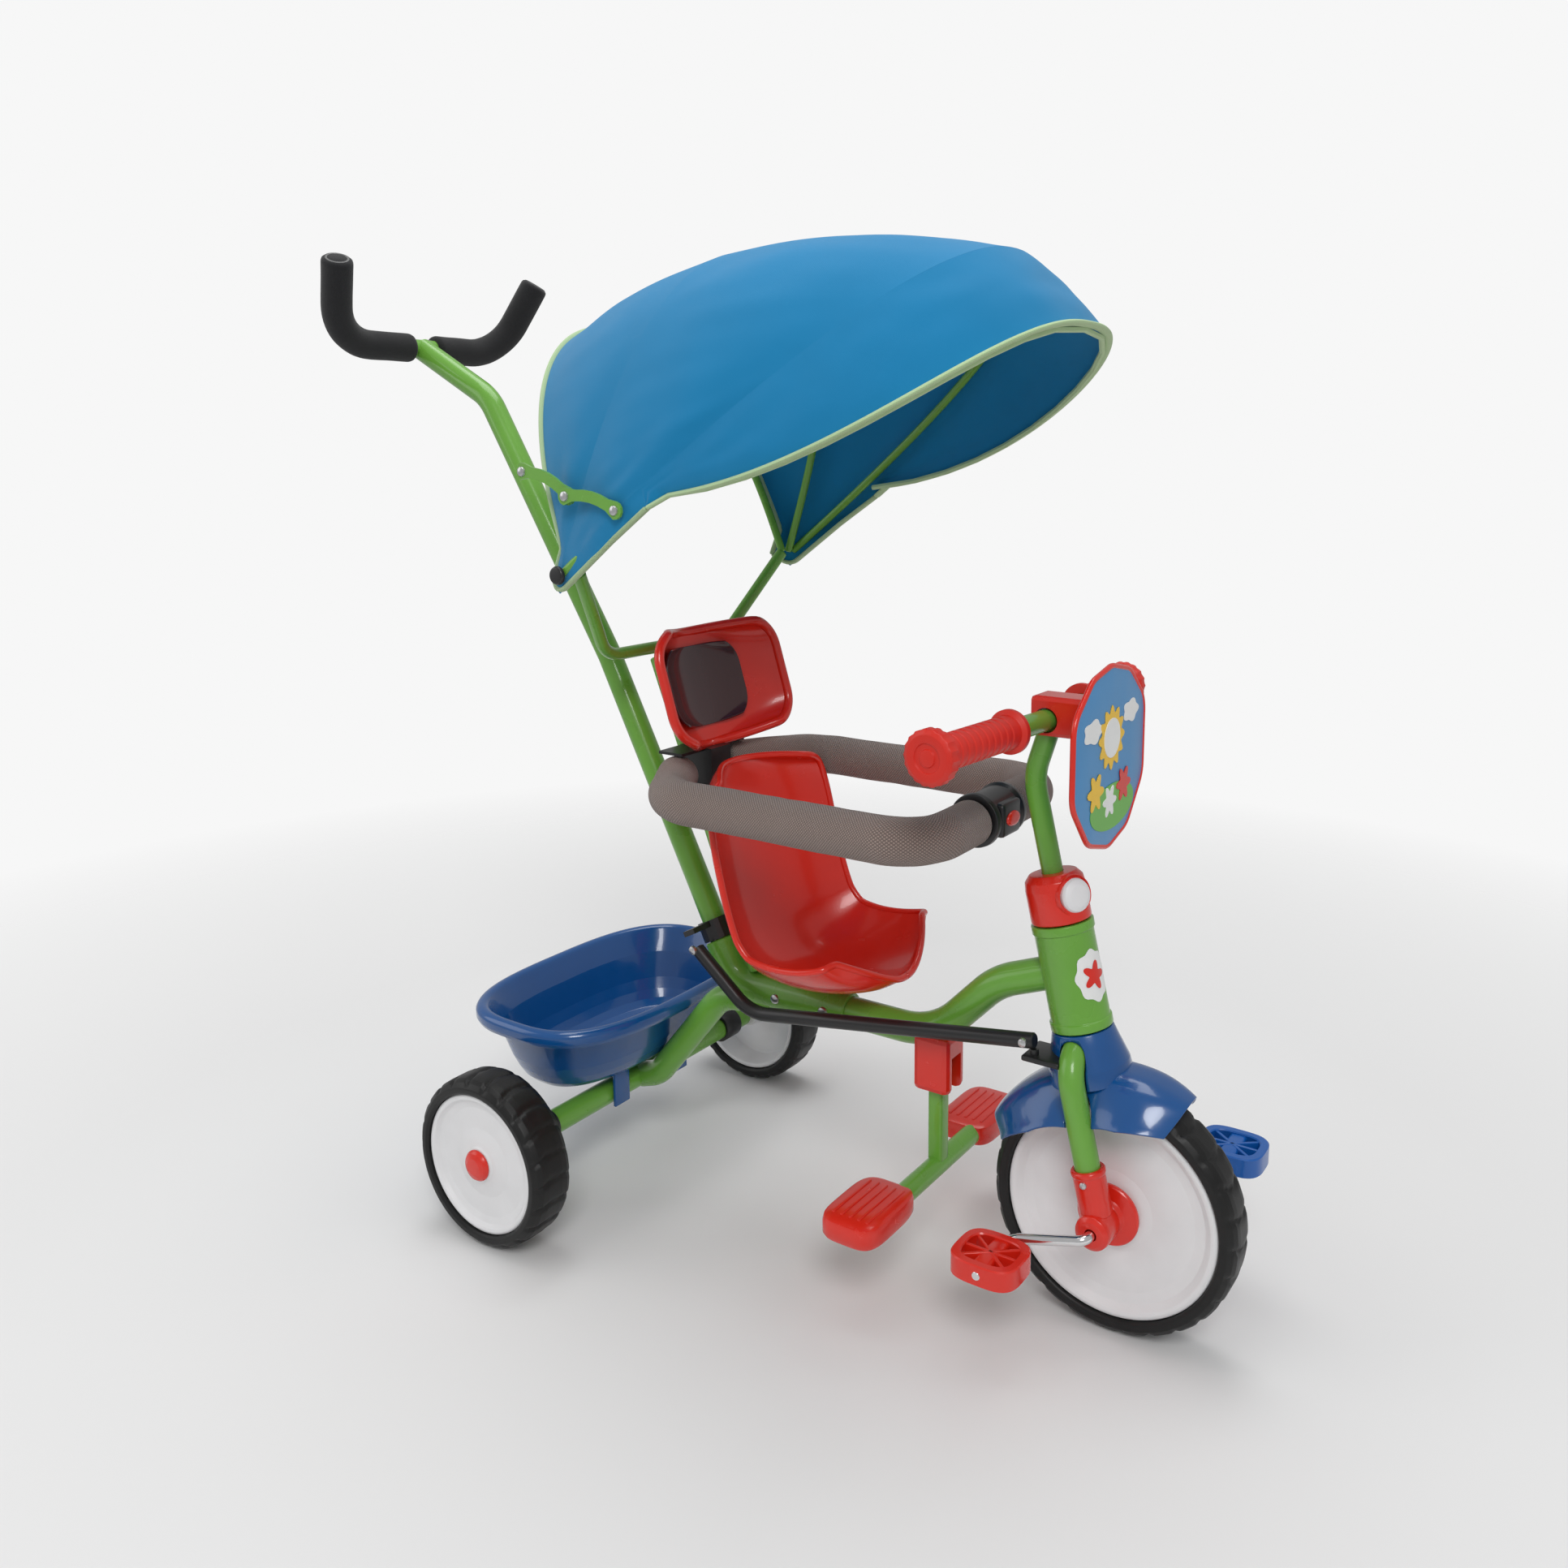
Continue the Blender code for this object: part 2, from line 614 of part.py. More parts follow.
def ring_parts(shop, foam, black, red):
    for side, word in ((1, "left"), (-1, "right")):
        shop.tube("ring_" + word, ring_path(side), RING_RADIUS, foam)
    centre = side_view(RING_FRONT, RING_HEIGHT)
    across = Vector((0.0, BUCKLE_HALF_LENGTH, 0.0))
    buckle = shop.cylinder("ring_buckle", centre - across, centre + across, BUCKLE_RADIUS, black)
    face = centre + Vector((BUCKLE_RADIUS, 0.0, 0.0))
    pocket = shop.box("buckle_pocket", face + Vector((-0.0115, -0.0135, -0.0085)),
                      face + Vector((0.010, 0.0135, 0.0085)), cutter=True)
    boolean(buckle, pocket)
    shop.box("buckle_button", face + Vector((-0.0070, -0.0130, -0.0080)),
             face + Vector((0.0030, 0.0130, 0.0080)), red, bevel=0.002)


# ================================================================ basket and footrest
def basket(shop, plastic):
    count = 28
    levels = [(BASKET_RIM, -0.012), (BASKET_RIM, 0.0), (0.004, 0.004), (-0.001, 0.0), (-0.010, -0.025),
              (-0.020, -0.055), (-0.032, -0.078), (-0.046, -0.0885), (-0.062, -0.0925)]
    rows = []
    for grow, drop in levels:
        share = -drop / (BASKET_RIM_HEIGHT - BASKET_FLOOR_HEIGHT)
        ring = super_ring(BASKET_HALF_LENGTH + grow, BASKET_HALF_WIDTH + grow, 3.0, count)
        middle = BASKET_AHEAD + BASKET_LEAN * max(share, 0.0)
        rows.append([side_view(middle + x, BASKET_RIM_HEIGHT + drop, y) for x, y in ring])
    tub = shop.sheet("basket", rows, plastic, BASKET_WALL, offset=1.0, closed=True, cap_last=True)
    for side in (-1, 1):
        low = side_view(AXLE_TUBE_RADIUS + 0.0012, REAR_WHEEL_RADIUS - 0.012,
                        side * CLIP_SIDE - CLIP_WIDTH / 2)
        high = side_view(AXLE_TUBE_RADIUS + 0.0052, BASKET_FLOOR_HEIGHT + 0.012,
                         side * CLIP_SIDE + CLIP_WIDTH / 2)
        tool = shop.box("basket_clip_%d" % (side + 1), low, high, cutter=True)
        boolean(tub, tool, "UNION")


def footrest(shop, paint, plastic):
    ahead, height = KNUCKLE
    half = Vector((0.020, 0.019, 0.030))
    centre = side_view(ahead, height + 0.006)
    hanger = shop.box("footrest_hanger", centre - half, centre + half, plastic, bevel=0.006)
    dip = rounded([side_view(*MAIN_TUBE_KNEE), side_view(MAIN_TUBE_DIP, FRAME_LEVEL),
                   side_view(JOINT_AHEAD, FRAME_LEVEL)], MAIN_TUBE_BEND, steps=5)
    tube = shop.solid_tube("main_tube_cutter", dip, MAIN_TUBE_RADIUS + SEAT_GAP, cutter=True)
    boolean(hanger, tube)
    slot_half = Vector((0.040, 0.0092, 0.030))
    slot_centre = side_view(ahead, height - 0.016)
    slot = shop.box("hanger_slot", slot_centre - slot_half, slot_centre + slot_half, cutter=True)
    boolean(hanger, slot)

    level = side_view(ahead, FOOT_BAR_HEIGHT)
    across = Vector((0.0, FOOT_BAR_HALF_LENGTH, 0.0))
    bar = shop.cylinder("footrest_bar", level - across, level + across, FOOT_BAR_RADIUS, paint,
                        segments=16)
    strut_half = Vector((0.008, 0.0085, (height - FOOT_BAR_HEIGHT) / 2))
    middle = (side_view(ahead, height) + level) / 2
    strut = shop.box("footrest_strut", middle - strut_half, middle + strut_half, cutter=True)
    boolean(bar, strut, "UNION")
    pivot = side_view(ahead, height)
    eye = shop.cylinder("strut_eye", pivot - Vector((0, 0.0085, 0)), pivot + Vector((0, 0.0085, 0)),
                        0.0095, segments=16, cutter=True)
    boolean(bar, eye, "UNION")
    side_step = Vector((0, 0.015, 0))
    room = shop.cylinder("pin_room", pivot - side_step, pivot + side_step,
                         FOOT_PIN_RADIUS + RUNNING_GAP, segments=16, cutter=True)
    boolean(bar, room)
    pin = shop.cylinder("footrest_pin", pivot - side_step, pivot + side_step, FOOT_PIN_RADIUS,
                        segments=16, cutter=True)
    boolean(hanger, pin, "UNION")
    for side, word in ((1, "left"), (-1, "right")):
        outer = side_view(ahead - 0.012, FOOT_BAR_HEIGHT, side * (PAD_INNER + PAD_WIDTH / 2))
        size = Vector((PAD_LENGTH, PAD_WIDTH, PAD_HEIGHT)) / 2
        pad = shop.box("footrest_pad_" + word, outer - size, outer + size, plastic, bevel=0.008)
        bore = shop.cylinder("pad_bore_" + word, side_view(ahead, FOOT_BAR_HEIGHT, side * 0.04),
                             side_view(ahead, FOOT_BAR_HEIGHT,
                                       side * (FOOT_BAR_HALF_LENGTH + SEAT_GAP)),
                             FOOT_BAR_RADIUS + SEAT_GAP, segments=16, cutter=True)
        boolean(pad, bore)


# ================================================================ canopy
def u_frame_points():
    side = REAR_BOW["half_width"]
    return [side_view(*CANOPY_PIVOT, -side), side_view(*U_FRAME_CROSS, -U_FRAME_HALF_WIDTH),
            side_view(*U_FRAME_CROSS, U_FRAME_HALF_WIDTH), side_view(*CANOPY_PIVOT, side)]


def bow_shares(count=22):
    """Places along a bow from foot to foot, closer together near the feet."""
    shares = []
    for i in range(count + 1):
        even = -1.0 + 2.0 * i / count
        shares.append(even * (1.35 - 0.35 * abs(even)))
    return shares


def bow_path(bow, first=0.0):
    """A bow's centre line. Its feet are cut back from the pivots by the length first."""
    path = [canopy_point(bow, share) for share in bow_shares()]
    if first > 0.0:
        path[0] += (path[1] - path[0]).normalized() * first
        path[-1] += (path[-2] - path[-1]).normalized() * first
    return path


def panel_edge(bow):
    """The line the cloth follows just outside a bow, kept a little above its pivots."""
    wide = dict(bow, half_width=PANEL_HALF_WIDTH)
    grow = BOW_RADIUS + PANEL_GAP
    angle = math.radians(bow["angle"])
    line = []
    for share in bow_shares():
        point = canopy_point(wide, share, grow)
        line.append(point)
    for end in (0, -1):
        foot = side_view(CANOPY_PIVOT[0] + PANEL_FOOT * math.cos(angle),
                         CANOPY_PIVOT[1] + PANEL_FOOT * math.sin(angle), line[end].y)
        line[end] = foot
    return line


def lofted_panel(shop, name, first, last, cloth, start, end, steps=3):
    """Cloth drawn straight from one edge to another, from the share start to the share end."""
    rows = []
    for i in range(steps + 1):
        share = start + (end - start) * i / steps
        rows.append([a.lerp(b, share) for a, b in zip(first, last)])
    return shop.sheet(name, rows, cloth, CANOPY_WALL, offset=1.0)


def canopy_parts(shop, paint, wire, cloth):
    shop.tube("canopy_u_frame", rounded(u_frame_points(), U_FRAME_BEND), U_FRAME_RADIUS, paint)
    clear = U_FRAME_RADIUS + SEAT_GAP + 0.0003
    shop.tube("rear_bow", bow_path(REAR_BOW, first=clear), BOW_RADIUS, paint, resolution=1)
    shop.tube("mid_bow", bow_path(MID_BOW), BOW_RADIUS, paint, resolution=1)
    shop.tube("front_bow", bow_path(FRONT_BOW), BOW_RADIUS, paint, resolution=1)
    brim = [brim_point(share) for share in bow_shares()]
    shop.tube("brim_wire", brim, BRIM_WIRE_RADIUS, wire, resolution=1)

    seam = PANEL_SEAM
    rear = panel_edge(REAR_BOW)
    mid = panel_edge(MID_BOW)
    front = panel_edge(FRONT_BOW)
    lofted_panel(shop, "canopy_rear_panel", rear, mid, cloth, seam, 1.0 - 2 * seam)
    lofted_panel(shop, "canopy_mid_panel", mid, front, cloth, seam, 1.0 - 4 * seam)
    hem = [brim_point(0.985 * share, BRIM_WIRE_RADIUS + 3 * PANEL_GAP) for share in bow_shares()]
    kept = slice(1, -1)
    lofted_panel(shop, "canopy_front_panel", front[kept], hem[kept], cloth, 2 * seam, 1.0)


def stay_geometry():
    """The two rivets on the bows and the folding brace's middle pivot, in the side view."""
    pivot = Vector(CANOPY_PIVOT)
    rear_angle = math.radians(REAR_BOW["angle"])
    front_angle = math.radians(FRONT_BOW["angle"])
    rear = pivot + Vector((math.cos(rear_angle), math.sin(rear_angle))) * STAY_REACH
    front = pivot + Vector((math.cos(front_angle), math.sin(front_angle))) * STAY_REACH
    half = (front - rear).length / 2
    middle = (rear + front) / 2
    towards = (pivot - middle).normalized()
    return rear, front, middle + towards * half * math.tan(STAY_OVER_CENTRE)


def canopy_stays(shop, paint):
    rear, front, middle = stay_geometry()
    for side, word in ((1, "left"), (-1, "right")):
        for start, end, layer, name in ((rear, middle, 0, "rear"), (front, middle, 1, "front")):
            length = (end - start).length
            width = STAY_HALF_WIDTH
            eye = STAY_EYE
            arch = STAY_ARCH
            steps = 6
            points = []
            for i in range(steps + 1):
                turn = math.pi / 2 + math.pi * i / steps
                points.append((math.cos(turn) * eye, math.sin(turn) * eye))
            for i in range(1, steps):
                share = i / steps
                points.append((length * share, -width + arch * math.sin(math.pi * share)))
            for i in range(steps + 1):
                turn = -math.pi / 2 + math.pi * i / steps
                points.append((length + math.cos(turn) * eye, math.sin(turn) * eye))
            for i in range(1, steps):
                share = 1.0 - i / steps
                points.append((length * share, width + arch * math.sin(math.pi * share)))
            if name == "front":
                points = [(x, -y) for x, y in reversed(points)]
            level = STAY_SIDE + layer * (STAY_THICKNESS + SEAT_GAP)
            centre = side_view(start.x, start.y, side * (level + STAY_THICKNESS / 2))
            angle = math.atan2(end.y - start.y, end.x - start.x)
            turn = (math.pi / 2, 0.0, 0.0)
            arm = shop.outline("stay_%s_%s" % (name, word), points, centre, turn, STAY_THICKNESS, paint)
            arm.matrix_world = (Matrix.Translation(centre) @ Matrix.Rotation(-angle, 4, "Y")
                                @ Matrix.Rotation(math.pi / 2, 4, "X"))


# ================================================================ fork, fender, handlebar
def fork_path():
    """The fork's centre line: up one leg, over the crown and down the other."""
    legs = []
    for side in (-1, 1):
        legs.append(steering_point(FORK_LEG_END, side * FORK_HALF_SPACING))
        legs.append(steering_point(FORK_CROWN, side * FORK_HALF_SPACING))
    return rounded([legs[0], legs[1], legs[3], legs[2]], FORK_BEND)


def fork(shop, paint):
    item = shop.solid_tube("fork", fork_path(), FORK_LEG_RADIUS, paint)
    steerer = shop.cylinder("steerer", steering_point(FORK_CROWN + 0.003),
                            steering_point(HEAD_TUBE_LOW + HEAD_TUBE_LENGTH + STEERER_RISE), STEERER_RADIUS,
                            cutter=True)
    boolean(item, steerer, "UNION")
    lug_pin = side_view(*LINK_FRONT, -LINK_SIDE)
    lug_low = Vector((lug_pin.x - LUG_REACH_BACK, lug_pin.y - 0.009, lug_pin.z - LUG_DROP - LUG_THICKNESS))
    lug_high = Vector((lug_pin.x + LUG_REACH_FORE, -LUG_INNER, lug_pin.z - LUG_DROP))
    lug = shop.box("steering_lug", lug_low, lug_high, cutter=True)
    boolean(item, lug, "UNION")


def fender_rows(count=10, across=9):
    rows = []
    crown = FRONT_WHEEL_RADIUS + FENDER_CLEARANCE
    start = FENDER_BACK
    end = FENDER_FRONT
    for i in range(count + 1):
        angle = start + (end - start) * i / count
        near_leg = math.exp(-(angle / math.radians(17.0)) ** 2)
        tip = max(0.0, abs(2.0 * i / count - 1.0) - 0.55) / 0.45
        half = (0.0425 - 0.0125 * near_leg) * (1.0 - 0.35 * tip ** 2)
        skirt = (0.034 - 0.010 * tip) - 0.006 * near_leg
        row = []
        for j in range(across):
            share = -1.0 + 2.0 * j / (across - 1)
            radius = crown + 0.004 * abs(angle) - skirt * abs(share) ** 3.2
            flare = 0.010 * (1.0 - near_leg) * abs(share) ** 8
            fore = radius * math.sin(angle)
            along = radius * math.cos(angle)
            row.append(steering_point(along, share * (half + flare), fore))
        rows.append(row)
    return rows


def front_fender(shop, plastic):
    item = shop.sheet("front_fender", fender_rows(), plastic, FENDER_WALL, offset=1.0)
    axis = steering_point(1.0) - steering_point(0.0)
    base = FRONT_WHEEL_RADIUS + 0.0022
    top = HEAD_TUBE_LOW - 0.0015
    profile = [(0.0265, top), (0.0290, top), (0.0385, base + 0.016), (0.0385, base),
               (0.0355, base), (0.0355, base + 0.016)]
    ring = shop.turned("fender_collar", profile, steering_point(0.0), axis, None, closed=True,
                       segments=32, cutter=True)
    boolean(item, ring, "UNION")
    room = shop.solid_tube("fork_room", fork_path(), FORK_LEG_RADIUS + 0.0008, cutter=True)
    boolean(item, room)
    pin = side_view(*LINK_FRONT, -LINK_SIDE)
    low = Vector((pin.x - LUG_REACH_BACK - 0.004, pin.y - 0.0140, pin.z - LUG_DROP - LUG_THICKNESS - 0.001))
    high = Vector((pin.x + LUG_REACH_FORE + 0.001, -LUG_INNER, pin.z - 0.0050))
    notch = shop.box("lug_room", low, high, cutter=True)
    boolean(item, notch)


def collar_and_button(shop, red, white):
    axis = steering_point(1.0) - steering_point(0.0)
    low = HEAD_TUBE_LOW + HEAD_TUBE_LENGTH + 0.0012
    top = low + COLLAR_HEIGHT
    steer_top = HEAD_TUBE_LOW + HEAD_TUBE_LENGTH + STEERER_RISE + SEAT_GAP
    wide = STEERER_RADIUS + SEAT_GAP
    slim = STEM_RADIUS + SEAT_GAP
    profile = [(slim, top), (COLLAR_RADIUS - 0.006, top), (COLLAR_RADIUS - 0.001, top - 0.006),
               (COLLAR_RADIUS, top - 0.014), (COLLAR_RADIUS, low), (wide, low), (wide, steer_top),
               (slim, steer_top)]
    collar = shop.turned("collar", profile, steering_point(0.0), axis, red, closed=True, segments=28)
    middle = steering_point(low + 0.0245)
    fore = steering_point(0.0, fore=1.0) - steering_point(0.0)
    point = (fore * math.cos(BUTTON_BEARING) + Vector((0, 1, 0)) * math.sin(BUTTON_BEARING)).normalized()
    floor = 0.0170
    pocket = shop.cylinder("button_pocket", middle + point * floor, middle + point * 0.045,
                           BUTTON_RADIUS + SEAT_GAP, cutter=True)
    boolean(collar, pocket)
    start = floor + BUTTON_TRAVEL + 0.0010
    depth = 0.0125
    profile = [(0.0, depth), (BUTTON_RADIUS * 0.55, depth - 0.0008), (BUTTON_RADIUS * 0.9, depth - 0.003),
               (BUTTON_RADIUS, depth - 0.0055), (BUTTON_RADIUS, 0.0), (0.0, 0.0)]
    shop.turned("collar_button", profile, middle + point * start, point, white, segments=24)


def handlebar(shop, paint, grip_red):
    low = HEAD_TUBE_LOW + HEAD_TUBE_LENGTH + STEERER_RISE + 2 * SEAT_GAP
    centre = side_view(BAR_AHEAD, BAR_HEIGHT)
    ends = []
    for side in (-1, 1):
        reach = BAR_HALF_LENGTH
        away = Vector((-math.sin(BAR_SWEEP), side * math.cos(BAR_SWEEP), 0.0))
        ends.append(centre + away * reach)
    bar = shop.solid_tube("handlebar", [ends[0], centre, ends[1]], BAR_RADIUS, paint)
    stem_path = rounded([steering_point(low), steering_point(STEM_CORNER), centre], STEM_BEND)
    stem = shop.solid_tube("stem", stem_path, STEM_RADIUS, cutter=True)
    boolean(bar, stem, "UNION")

    cap = GRIP_CAP
    profile = [(0.0, cap), (GRIP_FLANGE - 0.004, cap), (GRIP_FLANGE, cap - 0.002),
               (GRIP_FLANGE, -0.009), (GRIP_RADIUS + 0.002, -0.011), (GRIP_RADIUS, -0.016),
               (GRIP_RADIUS, 0.008 - GRIP_LENGTH), (GRIP_RADIUS + 0.0045, 0.006 - GRIP_LENGTH),
               (GRIP_RADIUS + 0.0045, -GRIP_LENGTH), (BAR_RADIUS + SEAT_GAP, -GRIP_LENGTH),
               (BAR_RADIUS + SEAT_GAP, SEAT_GAP), (0.0, SEAT_GAP)]
    for end, word in zip(ends, ("right", "left")):
        shop.turned("grip_" + word, profile, end, end - centre, grip_red)


def plate_outline():
    """A rounded shield: wide shoulders, a low crown and a blunt foot."""
    corners = [(-0.55, -0.86), (0.0, -1.0), (0.55, -0.86), (1.0, -0.36), (1.0, 0.52), (0.52, 0.90),
               (0.0, 1.0), (-0.52, 0.90), (-1.0, 0.52), (-1.0, -0.36)]
    points = [Vector((x * PLATE_HALF_WIDTH, y * PLATE_HALF_TALL, 0.0)) for x, y in corners]
    loop = points[-1:] + points + points[:1]
    smooth = rounded(loop, PLATE_CORNER, steps=3)
    return [(point.x, point.y) for point in smooth[1:-1]]


def plate_parts(shop, blue, red):
    centre = side_view(PLATE_AHEAD, PLATE_HEIGHT)
    turn = (math.pi / 2, 0.0, math.pi / 2)
    shop.outline("front_plate", plate_outline(), centre, turn, PLATE_THICKNESS, blue)
    bar = side_view(BAR_AHEAD, BAR_HEIGHT)
    low = Vector((bar.x - 0.016, -0.017, bar.z - 0.015))
    high = Vector((centre.x - PLATE_THICKNESS / 2 - SEAT_GAP, 0.017, bar.z + 0.022))
    clamp = shop.box("plate_clamp", low, high, red, bevel=0.004)
    room = shop.cylinder("bar_room", bar - Vector((0, 0.05, 0)), bar + Vector((0, 0.05, 0)),
                         STEM_RADIUS + 0.0016, cutter=True)
    boolean(clamp, room)
    stem_path = rounded([steering_point(0.30), steering_point(STEM_CORNER), bar], STEM_BEND)
    stem_room = shop.solid_tube("stem_room", stem_path, STEM_RADIUS + 0.0010, cutter=True)
    boolean(clamp, stem_room)


# ================================================================ wheels
def wheel(shop, tyre_name, disc_name, centre, out, radius, width, depth, bore, rubber, white, hub):
    """A foam tyre on a dished plastic disc. out is the way its outer face looks."""
    half = width / 2
    bead = radius - depth
    shoulder = 0.006
    profile = [(bead, half), (radius - shoulder, half), (radius, half - 1.4 * shoulder),
               (radius, 1.4 * shoulder - half), (radius - shoulder, -half), (bead, -half)]
    shop.turned(tyre_name, profile, centre, out, rubber, closed=True, segments=WHEEL_SEGMENTS)
    edge = bead - SEAT_GAP
    face = half - 0.0035
    boss = hub["boss"]
    profile = [(bore, hub["outer"]), (boss, hub["outer"]), (boss + 0.006, face - 0.004),
               (edge - 0.012, face - 0.006), (edge - 0.006, face), (edge, face),
               (edge, -face), (edge - 0.008, hub["web"]),
               (boss + 0.004, hub["web"]), (boss, hub["inner"]), (bore, hub["inner"])]
    shop.turned(disc_name, profile, centre, out, white, closed=True, segments=WHEEL_SEGMENTS)


def rear_wheels(shop, rubber, white, red):
    for side, word in ((1, "left"), (-1, "right")):
        centre = side_view(0.0, REAR_WHEEL_RADIUS, side * REAR_HALF_TRACK)
        out = Vector((0.0, side, 0.0))
        hub = {"boss": 0.017, "outer": 0.0212, "inner": -0.0245, "web": 0.006}
        wheel(shop, "rear_tyre_" + word, "rear_disc_" + word, centre, out, REAR_WHEEL_RADIUS,
              REAR_WHEEL_WIDTH, REAR_TYRE_DEPTH, REAR_AXLE_RADIUS + RUNNING_GAP, rubber, white, hub)
        base = hub["outer"] + SEAT_GAP
        profile = [(0.0, CAP_HEIGHT), (CAP_RADIUS * 0.7, CAP_HEIGHT - 0.001),
                   (CAP_RADIUS, CAP_HEIGHT - 0.004), (CAP_RADIUS, 0.0), (0.0, 0.0)]
        shop.turned("rear_cap_" + word, profile, centre + out * base, out, red)


def front_wheel(shop, rubber, white, red, chrome):
    hub = {"boss": 0.020, "outer": 0.0190, "inner": -0.0190, "web": -0.0145}
    wheel(shop, "front_tyre", "front_disc", front_axle(), Vector((0, 1, 0)), FRONT_WHEEL_RADIUS,
          FRONT_WHEEL_WIDTH, FRONT_TYRE_DEPTH, CRANK_RADIUS + SEAT_GAP, rubber, white, hub)
    bore = CRANK_RADIUS + SEAT_GAP
    for side, word in ((1, "left"), (-1, "right")):
        profile = [(bore, 0.0110), (0.0150, 0.0110), (0.0165, 0.0070), (0.0300, 0.0050),
                   (0.0300, 0.0), (bore, 0.0)]
        out = Vector((0.0, side, 0.0))
        shop.turned("hub_flange_" + word, profile, front_axle() + out * (0.0190 + SEAT_GAP), out, red,
                    closed=True)
    points = []
    for side in (1, -1):
        lean = Vector((math.cos(CRANK_LEAN), 0.0, math.sin(CRANK_LEAN))) * side * CRANK_LENGTH
        run = [front_axle(side * (PEDAL_INNER + PEDAL_WIDTH)) + lean,
               front_axle(side * (PEDAL_INNER - 0.010)) + lean,
               front_axle(side * CRANK_SHOULDER)]
        points += run if side > 0 else run[::-1]
    shop.tube("crank_axle", rounded(points, 0.010, steps=4), CRANK_RADIUS, chrome, resolution=2)


def bearing_blocks(shop, red):
    for side, word in ((1, "left"), (-1, "right")):
        inner = 0.0190 + 0.0110 + 2 * SEAT_GAP + 0.0006
        outer = 0.062
        block = shop.cylinder("bearing_block_" + word, front_axle(side * inner), front_axle(side * outer),
                              0.0170, red)
        upper = steering_point(0.0315, side * FORK_HALF_SPACING)
        inward = FORK_HALF_SPACING - inner
        half = Vector((0.0145, inward, 0.0230))
        clamp = shop.box("clamp_" + word, upper - half, upper + half, cutter=True, bevel=0.004,
                         turn=(0.0, -RAKE, 0.0))
        boolean(block, clamp, "UNION")
        axle = shop.cylinder("axle_room_" + word, front_axle(side * 0.02), front_axle(side * 0.08),
                             CRANK_RADIUS + RUNNING_GAP, segments=16, cutter=True)
        boolean(block, axle)
        leg = shop.solid_tube("leg_room_" + word,
                              [steering_point(FORK_LEG_END - SEAT_GAP, side * FORK_HALF_SPACING),
                               steering_point(0.08, side * FORK_HALF_SPACING)],
                              FORK_LEG_RADIUS + SEAT_GAP, cutter=True)
        boolean(block, leg)


def pedals(shop, red, blue):
    for side, word, colour in ((1, "left", blue), (-1, "right", red)):
        lean = Vector((math.cos(CRANK_LEAN), 0.0, math.sin(CRANK_LEAN))) * side * CRANK_LENGTH
        centre = front_axle(side * (PEDAL_INNER + PEDAL_WIDTH / 2)) + lean
        half = Vector((PEDAL_LENGTH, PEDAL_WIDTH, PEDAL_HEIGHT)) / 2
        pedal = shop.box("pedal_" + word, centre - half, centre + half, colour, bevel=0.004)
        inner = front_axle(side * (PEDAL_INNER - 0.01)) + lean
        outer = front_axle(side * (PEDAL_INNER + PEDAL_WIDTH + 0.0003)) + lean
        bore = shop.cylinder("pedal_bore_" + word, inner, outer, CRANK_RADIUS + RUNNING_GAP,
                             segments=16, cutter=True)
        boolean(pedal, bore)


# ================================================================ push pole and link
def handle_path(side=None):
    junction = side_view(*HANDLE_JUNCTION)
    along = (side_view(*HANDLE_JUNCTION) - side_view(*POLE_BEND)).normalized()
    rise = Vector((-along.z, 0.0, along.x))
    if rise.z < 0:
        rise.negate()
    halves = []
    for way in (-1, 1):
        tip = junction + Vector((0.0, way * HANDLE_HALF_WIDTH, 0.0)) + rise * HANDLE_RISE
        corner = junction + Vector((0.0, way * (HANDLE_HALF_WIDTH - HANDLE_SPLAY), 0.0))
        halves.append([tip, corner])
    if side is None:
        return rounded([halves[0][0], halves[0][1], halves[1][1], halves[1][0]], POLE_BEND_RADIUS)
    tip, corner = halves[(side + 1) // 2]
    start = junction + Vector((0.0, side * 0.0165, 0.0))
    return rounded([start, corner, tip], POLE_BEND_RADIUS)


def push_pole(shop, paint, foam, black):
    foot = side_view(*POLE_MOUTH) - pole_axis() * POLE_SOCKET_DEPTH
    path = rounded([foot, side_view(*POLE_KINK), side_view(*POLE_BEND), side_view(*HANDLE_JUNCTION)],
                   POLE_BEND_RADIUS)
    pole = shop.solid_tube("pole", path, POLE_RADIUS, paint)
    bar = shop.solid_tube("handle_bar", handle_path(), HANDLE_RADIUS, cutter=True)
    boolean(pole, bar, "UNION")
    for side, word in ((1, "left"), (-1, "right")):
        foam_grip = shop.solid_tube("foam_grip_" + word, handle_path(side), FOAM_RADIUS, foam)
        room = shop.solid_tube("foam_room_" + word, handle_path(), HANDLE_RADIUS + SEAT_GAP, cutter=True)
        boolean(foam_grip, room)

    mouth = side_view(*POLE_MOUTH)
    axis = pole_axis()
    low = 0.0012
    height = 0.022
    wide = POLE_RADIUS + 0.006
    crank = shop.cylinder("pole_crank", mouth + axis * low, mouth + axis * (low + height), wide, black)
    centre = mouth + axis * (low + height - 0.0035)
    arm_middle = Vector((centre.x, -LINK_SIDE / 2 - 0.0065, centre.z))
    half = Vector((0.0079, LINK_SIDE / 2 + 0.0005, 0.0029))
    arm = shop.box("pole_crank_arm", arm_middle - half, arm_middle + half, cutter=True,
                   turn=(0.0, -POLE_LEAN, 0.0))
    boolean(crank, arm, "UNION")
    sleeve = shop.solid_tube("pole_cutter", [mouth - axis * 0.02, mouth + axis * 0.08],
                             POLE_RADIUS + SEAT_GAP, cutter=True)
    boolean(crank, sleeve)


def link_rod(shop, black):
    points = [side_view(*LINK_REAR, -LINK_SIDE), side_view(*LINK_KNEE, -LINK_SIDE),
              side_view(*LINK_FRONT, -LINK_SIDE)]
    shop.tube("link_rod", rounded(points, LINK_BEND), LINK_RADIUS, black, resolution=3)


